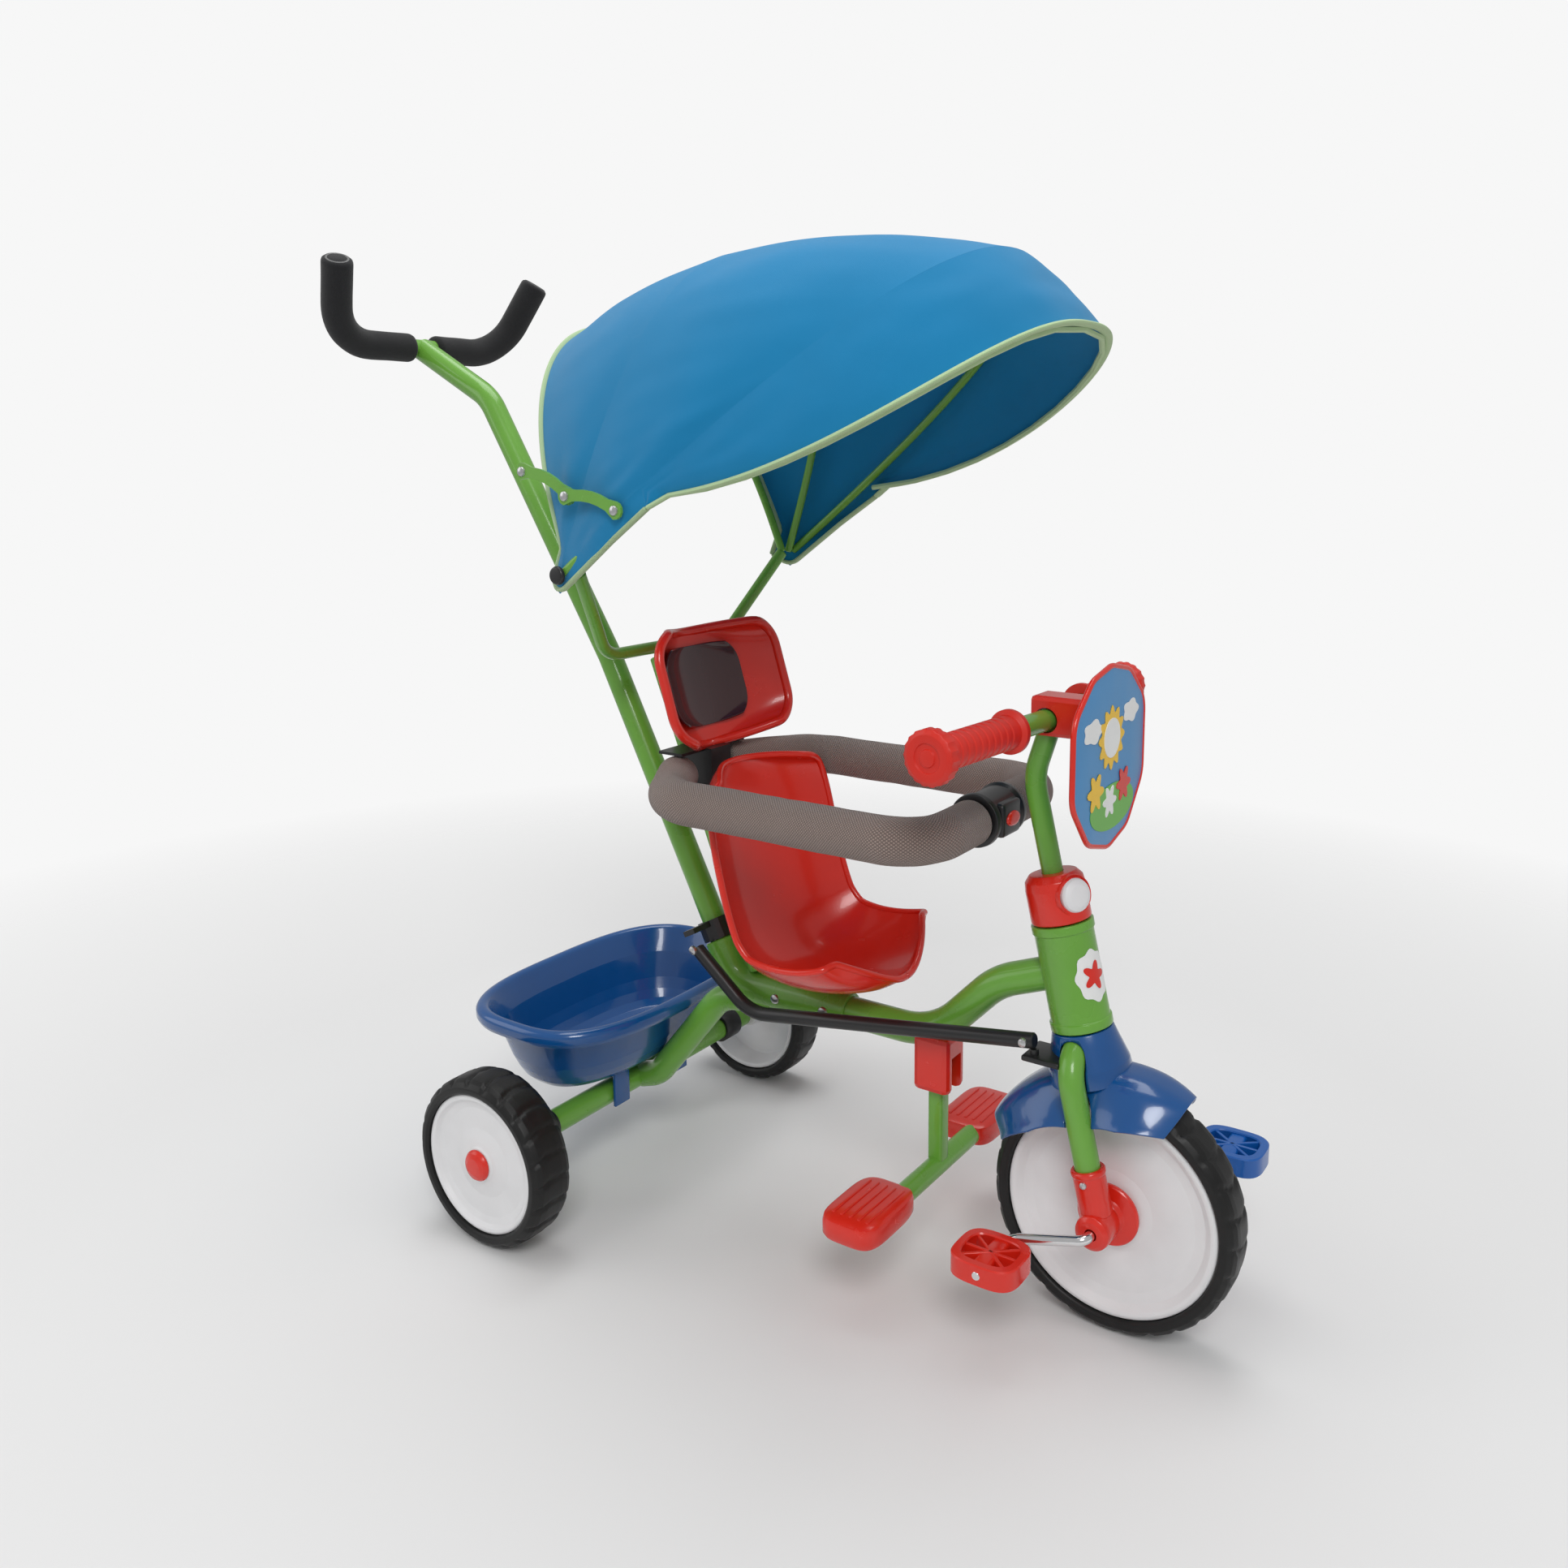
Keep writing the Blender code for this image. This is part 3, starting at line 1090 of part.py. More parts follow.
# ================================================================ the whole tricycle
def build():
    clear_scene()
    shop = Workshop()
    green = make_material("green_paint", (0.13, 0.38, 0.06), 0.30)
    red = make_material("red_plastic", (0.72, 0.02, 0.015), 0.25)
    blue = make_material("blue_plastic", (0.0, 0.06, 0.30), 0.25)
    white = make_material("white_plastic", (0.80, 0.80, 0.80), 0.40)
    black = make_material("black_plastic", (0.02, 0.02, 0.02), 0.50)
    rubber = make_material("black_tyre", (0.015, 0.015, 0.015), 0.70)
    foam = make_material("black_foam", (0.02, 0.02, 0.02), 0.95)
    chrome = make_material("chrome", (0.80, 0.80, 0.80), 0.10, 1.0)
    steel = make_material("steel", (0.55, 0.55, 0.56), 0.35, 1.0)
    cloth = make_material("canopy_cloth", (0.01, 0.22, 0.58), 0.90)
    mesh_cloth = make_material("ring_cloth", (0.28, 0.22, 0.20), 0.90)
    maroon = make_material("back_panel", (0.06, 0.015, 0.015), 0.30)
    plate = make_material("plate_blue", (0.06, 0.28, 0.60), 0.40)

    head_tube(shop, green)
    frame_tubes(shop, green)
    axle_frame(shop, green, steel)
    column_parts(shop, green, black)
    seat_shell(shop, red)
    back_parts(shop, red, maroon)
    ring_parts(shop, mesh_cloth, black, red)
    basket(shop, blue)
    footrest(shop, green, red)
    canopy_parts(shop, green, steel, cloth)
    canopy_stays(shop, green)
    fork(shop, green)
    front_fender(shop, blue)
    collar_and_button(shop, red, white)
    handlebar(shop, green, red)
    plate_parts(shop, plate, red)
    front_wheel(shop, rubber, white, red, chrome)
    bearing_blocks(shop, red)
    pedals(shop, red, blue)
    rear_wheels(shop, rubber, white, red)
    push_pole(shop, green, foam, black)
    link_rod(shop, black)


build()
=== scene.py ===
"""Children's push-along tricycle: the finished look of each piece, as a Blender add-on.

Places in the side view are a distance ahead of the rear axle and a height. The row frame has +X
towards the front wheel, +Y to the rider's left and +Z up, all in metres.
"""

import math

import bpy
from bpy.props import FloatProperty, FloatVectorProperty, IntProperty, PointerProperty
from mathutils import Matrix, Vector, noise


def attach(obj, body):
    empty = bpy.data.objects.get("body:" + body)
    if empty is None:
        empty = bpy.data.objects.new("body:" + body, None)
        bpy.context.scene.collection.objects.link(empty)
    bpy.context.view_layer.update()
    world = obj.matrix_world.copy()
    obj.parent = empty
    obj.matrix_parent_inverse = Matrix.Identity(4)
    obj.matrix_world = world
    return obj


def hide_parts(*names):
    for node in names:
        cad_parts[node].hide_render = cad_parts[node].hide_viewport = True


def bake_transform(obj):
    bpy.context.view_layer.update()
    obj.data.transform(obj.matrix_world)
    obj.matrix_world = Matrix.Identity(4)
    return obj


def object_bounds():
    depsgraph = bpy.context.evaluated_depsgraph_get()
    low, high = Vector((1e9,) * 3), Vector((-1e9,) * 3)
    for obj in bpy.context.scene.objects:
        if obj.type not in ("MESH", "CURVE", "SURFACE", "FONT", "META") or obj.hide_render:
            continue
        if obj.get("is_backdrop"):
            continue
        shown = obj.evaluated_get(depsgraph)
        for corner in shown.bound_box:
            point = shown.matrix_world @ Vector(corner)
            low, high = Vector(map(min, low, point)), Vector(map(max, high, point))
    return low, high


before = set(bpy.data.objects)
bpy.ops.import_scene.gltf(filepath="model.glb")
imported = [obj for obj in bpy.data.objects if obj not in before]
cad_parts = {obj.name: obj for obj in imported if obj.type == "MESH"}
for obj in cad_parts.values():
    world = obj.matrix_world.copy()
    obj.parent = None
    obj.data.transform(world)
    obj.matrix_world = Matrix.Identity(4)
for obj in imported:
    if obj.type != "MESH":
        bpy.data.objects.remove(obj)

bl_info = {
    "name": "Children's Tricycle",
    "version": (1, 0, 0),
    "blender": (4, 5, 0),
    "location": "3D View > Sidebar > Tricycle",
    "description": "Builds the finished pieces of a children's push-along tricycle",
    "category": "Add Mesh",
}

ORIGIN_AHEAD = 0.188033
WHEELBASE = 0.598
FRONT_RADIUS = 0.120
REAR_RADIUS = 0.0905
REAR_SIDE = 0.2230
RAKE = math.radians(13.3)
POLE_LEAN = math.radians(27.07)
POLE_MOUTH = (0.1275, 0.2840)
BAR = (0.522, 0.576)
HANDLE = (-0.3248, 0.9401)
PIVOT = (0.093, 0.700)
KNUCKLE = (0.405, 0.208)
BRIM_FOOT = (0.2102, 0.7765)
BRIM_TOP = (0.543, 0.922)
CRANK_LEAN = math.radians(14.0)
CRANK_LENGTH = 0.073
RING_HEIGHT = 0.475
RING_FRONT = 0.457
RING_HALF_WIDTH = 0.1275
SEAM_ALLOWANCE = 0.010

MAIN_HEIGHT = 0.2385
HEAD_WRAP = 0.0286
BADGE_ALONG = 0.222
BADGE_BEARING = math.radians(-18.0)
BUTTON_BEARING = math.radians(-24.0)
SCREW_DEPTH = 0.003
FORK_SIDE = 0.043
FORK_SHOULDER = 0.158
FORK_FOOT = 0.028
COLLAR_FOOT = 0.2732
SEAT_HALF_WIDTH = 0.103
BACK_HALF_WIDTH = 0.097
BACK_TOP = (0.0790, 0.622)
BACK_DROP = (0.0364, 0.1188)
BASKET_MIDDLE = (-0.028, 0.205)
BASKET_HALF = (0.097, 0.158)
BASKET_DEPTH = 0.0925
FOOT_BAR_HEIGHT = 0.100
PLATE = (0.577, 0.546)
PLATE_HALF = (0.080, 0.084)
CANOPY_POST_SIDE = 0.166
STAY_REACH = 0.105
STAY_OVER_CENTRE = math.radians(5.0)
GRIP_GROOVES = 9
LINK_SIDE = 0.038
LINK_REAR = (0.124, 0.283)
POLE_KNEES = ((-0.0283, 0.5873), (-0.2096, 0.8794))
CAMERA_AT = (1.0238, 0.8172, -1.0945)
CAMERA_YAW = 0.5724
CAMERA_PITCH = 0.154
CAMERA_SHIFT = (-0.0527, -0.0810)
LENS = 30.43
SENSOR = 36.0
SIDES = ((1, "left"), (-1, "right"))


# ---------------------------------------------------------------- settings
class TricyclePaint(bpy.types.PropertyGroup):
    """Colours of the painted and moulded pieces."""

    green: FloatVectorProperty(name="Frame green", description="Enamel on the tubes", subtype="COLOR",
                               default=(0.150, 0.390, 0.048), min=0, max=1)
    red: FloatVectorProperty(name="Red", description="Red mouldings", subtype="COLOR",
                             default=(0.720, 0.020, 0.008), min=0, max=1)
    blue: FloatVectorProperty(name="Blue", description="Basket and fender", subtype="COLOR",
                              default=(0.001, 0.075, 0.270), min=0, max=1)
    cloth: FloatVectorProperty(name="Canopy cloth", description="Woven canopy cloth", subtype="COLOR",
                               default=(0.003, 0.215, 0.460), min=0, max=1)
    trim: FloatVectorProperty(name="Hem", description="Binding on the canopy's edge", subtype="COLOR",
                              default=(0.460, 0.620, 0.350), min=0, max=1)
    ring: FloatVectorProperty(name="Ring cloth", description="Mesh cloth over the safety ring",
                              subtype="COLOR", default=(0.270, 0.205, 0.180), min=0, max=1)


class TricycleSizes(bpy.types.PropertyGroup):
    """Sizes of the modelled detail."""

    sides: IntProperty(name="Tube sides", description="Facets round a tube", default=28, min=8)
    wheel_steps: IntProperty(name="Wheel steps", description="Facets round a wheel", default=120, min=24)
    cloth_wall: FloatProperty(name="Cloth thickness", description="Thickness of the canopy cloth",
                              default=0.0010, min=0.0002, unit="LENGTH")
    cloth_swell: FloatProperty(name="Cloth swell", description="How far the cloth rounds out between bows",
                               default=0.014, min=0, unit="LENGTH")


def paint():
    return bpy.context.scene.tricycle_paint


def sizes():
    return bpy.context.scene.tricycle_sizes


# ---------------------------------------------------------------- places
def place(ahead, height, side=0.0):
    return Vector((ahead - ORIGIN_AHEAD, side, height))


def steer(along, side=0.0, fore=0.0):
    """A point along the steering axis from the front axle, to its side and ahead of it."""
    up = Vector((-math.sin(RAKE), 0.0, math.cos(RAKE)))
    ahead = Vector((math.cos(RAKE), 0.0, math.sin(RAKE)))
    return place(WHEELBASE, FRONT_RADIUS, side) + up * along + ahead * fore


def square_to_steering(bearing):
    """The direction square to the steering axis, at a bearing from straight ahead."""
    fore = (steer(0.0, fore=1.0) - steer(0.0)).normalized()
    return (fore * math.cos(bearing) + LEFT * math.sin(bearing)).normalized()


STEER_AXIS = steer(1.0) - steer(0.0)
POLE_AXIS = Vector((-math.sin(POLE_LEAN), 0.0, math.cos(POLE_LEAN)))
LEFT = Vector((0.0, 1.0, 0.0))


def rounded(points, radius, steps=10):
    """A bent tube's centre line: straight runs joined by arcs."""
    path = [points[0]]
    for before, corner, after in zip(points, points[1:], points[2:]):
        arrive = (corner - before).normalized()
        leave = (after - corner).normalized()
        turn = arrive.angle(leave)
        if turn < math.radians(1.0):
            path.append(corner)
            continue
        back = min(radius * math.tan(turn / 2), 0.45 * (corner - before).length,
                   0.45 * (after - corner).length)
        bend = back / math.tan(turn / 2)
        centre = corner + (leave - arrive).normalized() * (bend / math.cos(turn / 2))
        first = corner - arrive * back - centre
        axis = arrive.cross(leave).normalized()
        for i in range(steps + 1):
            path.append(centre + Matrix.Rotation(turn * i / steps, 3, axis) @ first)
    path.append(points[-1])
    return path


def path_length(path):
    return sum((b - a).length for a, b in zip(path, path[1:]))


def along_path(path, share):
    """The point at a share of a polyline's length."""
    lengths = [(b - a).length for a, b in zip(path, path[1:])]
    left = share * sum(lengths)
    for a, b, length in zip(path, path[1:], lengths):
        if left <= length:
            return a.lerp(b, left / max(length, 1e-9))
        left -= length
    return path[-1].copy()


def glide(values, share):
    """A smooth curve through evenly spaced values, at a share of the way along them."""
    at = min(max(share, 0.0), 1.0) * (len(values) - 1)
    low = min(int(at), len(values) - 2)
    t = at - low
    p1, p2 = values[low], values[low + 1]
    p0 = values[low - 1] if low > 0 else p1 * 2.0 - p2
    p3 = values[low + 2] if low + 2 < len(values) else p2 * 2.0 - p1
    return (p1 * 2.0 + (p2 - p0) * t + (p0 * 2.0 - p1 * 5.0 + p2 * 4.0 - p3) * t ** 2
            + (p1 * 3.0 - p0 - p2 * 3.0 + p3) * t ** 3) * 0.5


# ---------------------------------------------------------------- modelling
def only(item):
    bpy.ops.object.select_all(action="DESELECT")
    item.select_set(True)
    bpy.context.view_layer.objects.active = item


def join(items, name):
    bpy.ops.object.select_all(action="DESELECT")
    for item in items:
        item.select_set(True)
    bpy.context.view_layer.objects.active = items[0]
    bpy.ops.object.join()
    items[0].name = name
    items[0].data.name = name
    return items[0]


def smooth(item, angle=40.0):
    only(item)
    bpy.ops.object.shade_smooth_by_angle(angle=math.radians(angle))
    return item


def settle(item):
    """Puts the piece's place into its mesh."""
    only(item)
    bpy.ops.object.transform_apply(location=True, rotation=True, scale=True)
    return item


def surface(name, across, along, shape, weld=True, fill=False, angle=40.0):
    """A grid laid over shape(u, v), with u and v from 0 to 1. Its UV map keeps u and v."""
    bpy.ops.mesh.primitive_grid_add(x_subdivisions=across, y_subdivisions=along, size=1.0,
                                    calc_uvs=True)
    item = bpy.context.active_object
    item.name = name
    item.data.name = name
    for vertex in item.data.vertices:
        vertex.co = shape(vertex.co.x + 0.5, vertex.co.y + 0.5)
    bpy.ops.object.mode_set(mode="EDIT")
    bpy.ops.mesh.select_all(action="SELECT")
    if weld:
        bpy.ops.mesh.remove_doubles(threshold=0.00001)
    if fill:
        bpy.ops.mesh.select_all(action="SELECT")
        bpy.ops.mesh.fill_holes(sides=0)
    bpy.ops.mesh.select_all(action="SELECT")
    bpy.ops.mesh.normals_make_consistent(inside=False)
    bpy.ops.object.mode_set(mode="OBJECT")
    return smooth(item, angle)


def axes_along(path):
    """Sideways and upward directions carried along a path without twisting."""
    frames = []
    up = Vector((0.0, 0.0, 1.0))
    for i in range(len(path)):
        ahead = (path[min(i + 1, len(path) - 1)] - path[max(i - 1, 0)]).normalized()
        if i == 0 and abs(ahead.dot(up)) > 0.95:
            up = Vector((1.0, 0.0, 0.0))
        side = ahead.cross(up).normalized()
        up = side.cross(ahead).normalized()
        frames.append((side, up))
    return frames


def tube(name, path, radius, flat=1.0, sides=None):
    """A round bar, or an oval one if flat is not 1, with slightly rounded ends."""
    count = sides or sizes().sides
    frames = axes_along(path)
    first = (path[0] - path[1]).normalized()
    last = (path[-1] - path[-2]).normalized()
    ease = min(0.0012, radius * 0.4)
    rings = [(path[0], frames[0], radius - ease)]
    rings.append((path[0] - first * ease, frames[0], radius))
    for point, pair in zip(path[1:-1], frames[1:-1]):
        rings.append((point, pair, radius))
    rings.append((path[-1] - last * ease, frames[-1], radius))
    rings.append((path[-1], frames[-1], radius - ease))

    def shape(u, v):
        centre, (side, up), wide = rings[round(v * (len(rings) - 1))]
        turn = 2.0 * math.pi * u
        return centre + side * (math.cos(turn) * wide) + up * (math.sin(turn) * wide * flat)

    return surface(name, count, len(rings) - 1, shape, fill=True)


def lathe(name, profile, origin, axis, steps=64, fill=False, angle=32.0, ripple=None):
    """A turned piece. The profile lists (radius, height along axis) down its outer side."""
    z_axis = axis.normalized()
    hint = Vector((1.0, 0.0, 0.0)) if abs(z_axis.x) < 0.9 else Vector((0.0, 0.0, 1.0))
    x_axis = (hint - z_axis * hint.dot(z_axis)).normalized()
    y_axis = z_axis.cross(x_axis)
    count = len(profile) - 1

    def shape(u, v):
        radius, height = profile[round(v * count)]
        turn = 2.0 * math.pi * u
        if ripple:
            radius += ripple(turn, radius, height)
        return (origin + z_axis * height + x_axis * (math.cos(turn) * radius)
                + y_axis * (math.sin(turn) * radius))

    return surface(name, steps, count, shape, fill=fill, angle=angle)


def eased(profile, radius, steps=3):
    """The same profile with its inner corners rounded off."""
    points = [Vector((r, h, 0.0)) for r, h in profile]
    return [(p.x, p.y) for p in rounded(points, radius, steps)]


def block(name, low, high, bevel=0.002, turn=None, segments=3):
    """A box between two corners with rounded edges."""
    bpy.ops.mesh.primitive_cube_add(size=1.0, location=(low + high) / 2)
    item = bpy.context.active_object
    item.name = name
    item.data.name = name
    item.scale = high - low
    bpy.ops.object.transform_apply(location=False, rotation=False, scale=True)
    if turn is not None:
        item.rotation_euler = turn
    modifier = item.modifiers.new("edges", "BEVEL")
    modifier.width = bevel
    modifier.segments = segments
    bpy.ops.object.modifier_apply(modifier=modifier.name)
    return smooth(settle(item), 35.0)


def thicken(item, wall, offset, rim=0.0):
    """Gives a surface its wall and rounds its rim."""
    only(item)
    solid = item.modifiers.new("wall", "SOLIDIFY")
    solid.thickness = wall
    solid.offset = offset
    solid.use_even_offset = True
    bpy.ops.object.modifier_apply(modifier=solid.name)
    if rim > 0.0:
        edge = item.modifiers.new("rim", "BEVEL")
        edge.width = rim
        edge.segments = 3
        edge.limit_method = "ANGLE"
        edge.angle_limit = math.radians(50.0)
        bpy.ops.object.modifier_apply(modifier=edge.name)
    return smooth(item, 50.0)


def finished(item, material, body, nodes=(), slot=None):
    """Paints a piece, joins it to its moving body and hides the plain nodes it stands for."""
    item.data.materials.clear()
    item.data.materials.append(material)
    if nodes:
        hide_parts(*nodes)
    if body:
        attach(item, body)
    return item


def repaint(names, material):
    for name in names:
        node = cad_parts[name]
        node.data.materials.clear()
        node.data.materials.append(material)


# ---------------------------------------------------------------- materials
class Field:
    """A shader value that can be worked with like a number."""

    def __init__(self, tree, socket):
        self.tree = tree
        self.socket = socket

    def work(self, operation, *others):
        node = self.tree.nodes.new("ShaderNodeMath")
        node.operation = operation
        for slot_in, value in zip(node.inputs, (self, *others)):
            if isinstance(value, Field):
                self.tree.links.new(value.socket, slot_in)
            else:
                slot_in.default_value = value
        return Field(self.tree, node.outputs[0])

    def reversed_work(self, operation, first):
        node = self.tree.nodes.new("ShaderNodeMath")
        node.operation = operation
        node.inputs[0].default_value = first
        self.tree.links.new(self.socket, node.inputs[1])
        return Field(self.tree, node.outputs[0])

    def __add__(self, other):
        return self.work("ADD", other)

    def __radd__(self, other):
        return self.reversed_work("ADD", other)

    def __sub__(self, other):
        return self.work("SUBTRACT", other)

    def __rsub__(self, other):
        return self.reversed_work("SUBTRACT", other)

    def __mul__(self, other):
        return self.work("MULTIPLY", other)

    def __rmul__(self, other):
        return self.reversed_work("MULTIPLY", other)

    def sine(self):
        return self.work("SINE")

    def size(self):
        return self.work("ABSOLUTE")

    def most(self, other):
        return self.work("MAXIMUM", other)

    def least(self, other):
        return self.work("MINIMUM", other)


class Finish:
    """One material: a Principled shader with its nodes."""

    def __init__(self, name, roughness, metallic=0.0, coat=0.0, sheen=0.0, specular=0.5):
        self.material = bpy.data.materials.new(name)
        self.material.use_nodes = True
        self.tree = self.material.node_tree
        self.shader = self.tree.nodes["Principled BSDF"]
        for key, value in (("Roughness", roughness), ("Metallic", metallic), ("Coat Weight", coat),
                           ("Sheen Weight", sheen), ("Specular IOR Level", specular),
                           ("Coat Roughness", 0.05)):
            self.shader.inputs[key].default_value = value

    def node(self, kind, settings=None, **inputs):
        made = self.tree.nodes.new(kind)
        for key, value in (settings or {}).items():
            setattr(made, key, value)
        for key, value in inputs.items():
            socket = made.inputs[key.replace("_", " ")]
            if isinstance(value, Field):
                self.tree.links.new(value.socket, socket)
            else:
                socket.default_value = value
        return made

    def coordinate(self, which="Object"):
        return Field(self.tree, self.node("ShaderNodeTexCoord").outputs[which])

    def split(self, vector):
        made = self.node("ShaderNodeSeparateXYZ", Vector=vector)
        return [Field(self.tree, made.outputs[i]) for i in range(3)]

    def noise(self, scale, detail):
        made = self.node("ShaderNodeTexNoise", Vector=self.coordinate(), Scale=scale, Detail=detail)
        return Field(self.tree, made.outputs["Fac"])

    def colour(self, amount, first, second):
        made = self.node("ShaderNodeMix", {"data_type": "RGBA"})
        made.inputs[6].default_value = (*first, 1.0)
        made.inputs[7].default_value = (*second, 1.0)
        self.tree.links.new(amount.socket, made.inputs[0])
        self.tree.links.new(made.outputs[2], self.shader.inputs["Base Color"])

    def plain(self, colour):
        self.shader.inputs["Base Color"].default_value = (*colour, 1.0)

    def rough(self, value):
        self.tree.links.new(value.socket, self.shader.inputs["Roughness"])

    def bump(self, height, strength, distance):
        made = self.node("ShaderNodeBump", Height=height, Strength=strength, Distance=distance)
        self.tree.links.new(made.outputs["Normal"], self.shader.inputs["Normal"])


def shade(colour, factor):
    return tuple(min(1.0, max(0.0, part * factor)) for part in colour)


def enamel(name, colour):
    """Thick sprayed enamel with a faint orange peel."""
    finish = Finish(name, 0.28, coat=0.35, specular=0.4)
    cloudy = finish.noise(18.0, 4.0)
    finish.colour(cloudy, shade(colour, 0.90), shade(colour, 1.08))
    finish.rough(cloudy * 0.12 + 0.22)
    finish.bump(finish.noise(260.0, 2.0), 0.10, 0.0006)
    return finish.material


def moulding(name, colour, roughness=0.24, coat=0.25):
    """Injection-moulded plastic: even colour, fine haze, slightly uneven gloss."""
    finish = Finish(name, roughness, coat=coat)
    haze = finish.noise(34.0, 5.0)
    finish.colour(haze, shade(colour, 0.94), shade(colour, 1.05))
    finish.rough(haze * 0.14 + (roughness - 0.06))
    finish.bump(finish.noise(420.0, 2.0), 0.06, 0.0005)
    return finish.material


def tyre_rubber():
    finish = Finish("tyre_eva", 0.42, specular=0.35)
    scuff = finish.noise(60.0, 6.0)
    finish.colour(scuff, (0.004, 0.004, 0.004), (0.012, 0.012, 0.012))
    finish.rough(scuff * 0.20 + 0.34)
    finish.bump(finish.noise(900.0, 2.0), 0.25, 0.0004)
    return finish.material


def grip_foam():
    finish = Finish("handle_foam", 0.9, sheen=0.15, specular=0.3)
    pore_relief_and_shade = finish.noise(1300.0, 3.0)
    # painted shade: the low pores of the foam are coloured darker than its raised skin
    finish.colour(pore_relief_and_shade, (0.004, 0.004, 0.005), (0.028, 0.028, 0.030))
    finish.bump(pore_relief_and_shade, 0.55, 0.0007)
    return finish.material


def bright_metal(name, colour, roughness):
    finish = Finish(name, roughness, metallic=1.0)
    wear = finish.noise(240.0, 4.0)
    finish.colour(wear, shade(colour, 0.92), colour)
    finish.rough(wear * 0.10 + roughness)
    return finish.material


def woven(name, colour, across, along, strength=0.35, depth=0.0004):
    """Plain weave over the piece's own UV map, with broad light and dark patches and painted shade in the
    low parts of the weave.
    """
    finish = Finish(name, 0.85, sheen=0.18, specular=0.25)
    u, v, _ = finish.split(finish.coordinate("UV"))
    warp = (u * (across * 2.0 * math.pi)).sine()
    weft = (v * (along * 2.0 * math.pi)).sine()
    thread_relief_and_shade = (warp * weft) * 0.5 + 0.5
    patch = finish.noise(9.0, 4.0)
    # painted shade: the low parts of the weave are coloured darker and the raised threads lighter, mixed
    # with random patches
    finish.colour((thread_relief_and_shade * 0.35 + patch * 0.65), shade(colour, 0.84), shade(colour, 1.12))
    finish.bump(thread_relief_and_shade + finish.noise(70.0, 3.0) * 1.2, strength, depth)
    return finish.material


def net_cloth(name, colour, across, along):
    """Spacer mesh: staggered round holes, with painted shade in the low parts and painted light on the
    raised threads.
    """
    finish = Finish(name, 0.8, sheen=0.25, specular=0.25)
    u, v, _ = finish.split(finish.coordinate("UV"))
    one = (u * (across * 2.0 * math.pi) + v * (along * 2.0 * math.pi)).sine()
    two = (u * (across * 2.0 * math.pi) - v * (along * 2.0 * math.pi)).sine()
    thread_relief_and_shade = (one.size()).least(two.size())
    # painted shade and light: the low parts of the mesh are coloured dark as shade and the raised parts
    # light
    finish.colour(thread_relief_and_shade, shade(colour, 0.50), shade(colour, 1.45))
    finish.bump(thread_relief_and_shade, 0.8, 0.0009)
    return finish.material


class Palette:
    """The materials, made once."""

    def __init__(self):
        colours = paint()
        red = tuple(colours.red)
        self.green = enamel("green_enamel", tuple(colours.green))
        self.red = moulding("red_gloss", red)
        self.red_soft = moulding("red_grip", shade(red, 0.92), 0.42, 0.0)
        self.blue = moulding("blue_gloss", tuple(colours.blue), 0.20, 0.5)
        self.pedal_blue = moulding("pedal_blue", (0.004, 0.100, 0.400), 0.30)
        self.white = moulding("white_disc", (0.800, 0.800, 0.810), 0.34, 0.1)
        self.black = moulding("black_satin", (0.012, 0.012, 0.013), 0.36, 0.1)
        self.grey = moulding("end_cap", (0.10, 0.10, 0.10), 0.45, 0.0)
        self.maroon = moulding("maroon_gloss", (0.050, 0.012, 0.014), 0.22, 0.4)
        self.plate = moulding("plate_blue", (0.060, 0.270, 0.560), 0.34, 0.2)
        self.yellow = moulding("sun_yellow", (0.900, 0.560, 0.030), 0.34, 0.1)
        self.cream = moulding("cloud_white", (0.850, 0.860, 0.850), 0.40, 0.1)
        self.leaf = moulding("hill_green", (0.160, 0.470, 0.080), 0.40, 0.1)
        self.tyre = tyre_rubber()
        self.foam = grip_foam()
        self.chrome = bright_metal("chrome", (0.82, 0.82, 0.83), 0.10)
        self.zinc = bright_metal("zinc", (0.62, 0.62, 0.63), 0.28)
        cloth = tuple(colours.cloth)
        self.cloth = woven("canopy_weave", cloth, 420.0, 190.0)
        self.trim = woven("hem_binding", tuple(colours.trim), 6.0, 420.0, 0.5, 0.0005)
        self.net = net_cloth("ring_mesh", tuple(colours.ring), 22.0, 84.0)


PALETTE = []


def palette():
    if not PALETTE:
        PALETTE.append(Palette())
    return PALETTE[0]


def screw_head(name, point, axis, radius, body):
    """A plain domed screw head standing on a surface."""
    profile = [(0.0, SCREW_DEPTH), (radius * 0.5, SCREW_DEPTH * 0.92),
               (radius * 0.85, SCREW_DEPTH * 0.6), (radius, 0.0),
               (radius, -SCREW_DEPTH * 0.5), (0.0, -SCREW_DEPTH * 0.5)]
    head = lathe(name, profile, point, axis, steps=24)
    return finished(head, palette().zinc, body, slot="steel")


# ---------------------------------------------------------------- frame
def rear_tube_line():
    drop = (POLE_MOUTH[1] - MAIN_HEIGHT) / math.cos(POLE_LEAN)
    corner = place(POLE_MOUTH[0] + drop * math.sin(POLE_LEAN), MAIN_HEIGHT)
    return rounded([place(0.300, MAIN_HEIGHT), corner, place(*POLE_MOUTH)], 0.045)


def column_point(share):
    return place(0.1817, 0.260).lerp(place(0.0486, 0.594), share)


def head_sticker(name, spread, squash, lift, around, rings, material, slot):
    """A thin shape wrapped round the head tube; spread(turn, v) is its reach from its middle."""
    centre = steer(BADGE_ALONG)
    aim = square_to_steering(BADGE_BEARING)
    side = STEER_AXIS.cross(aim).normalized()

    def shape(u, v):
        turn = 2.0 * math.pi * u
        wide = spread(turn, v)
        bend = math.cos(turn) * wide / HEAD_WRAP
        tall = math.sin(turn) * wide * squash
        return (centre + STEER_AXIS * tall + aim * (math.cos(bend) * lift)
                + side * (math.sin(bend) * lift))

    finished(surface(name, around, rings, shape), material, "frame", slot=slot)


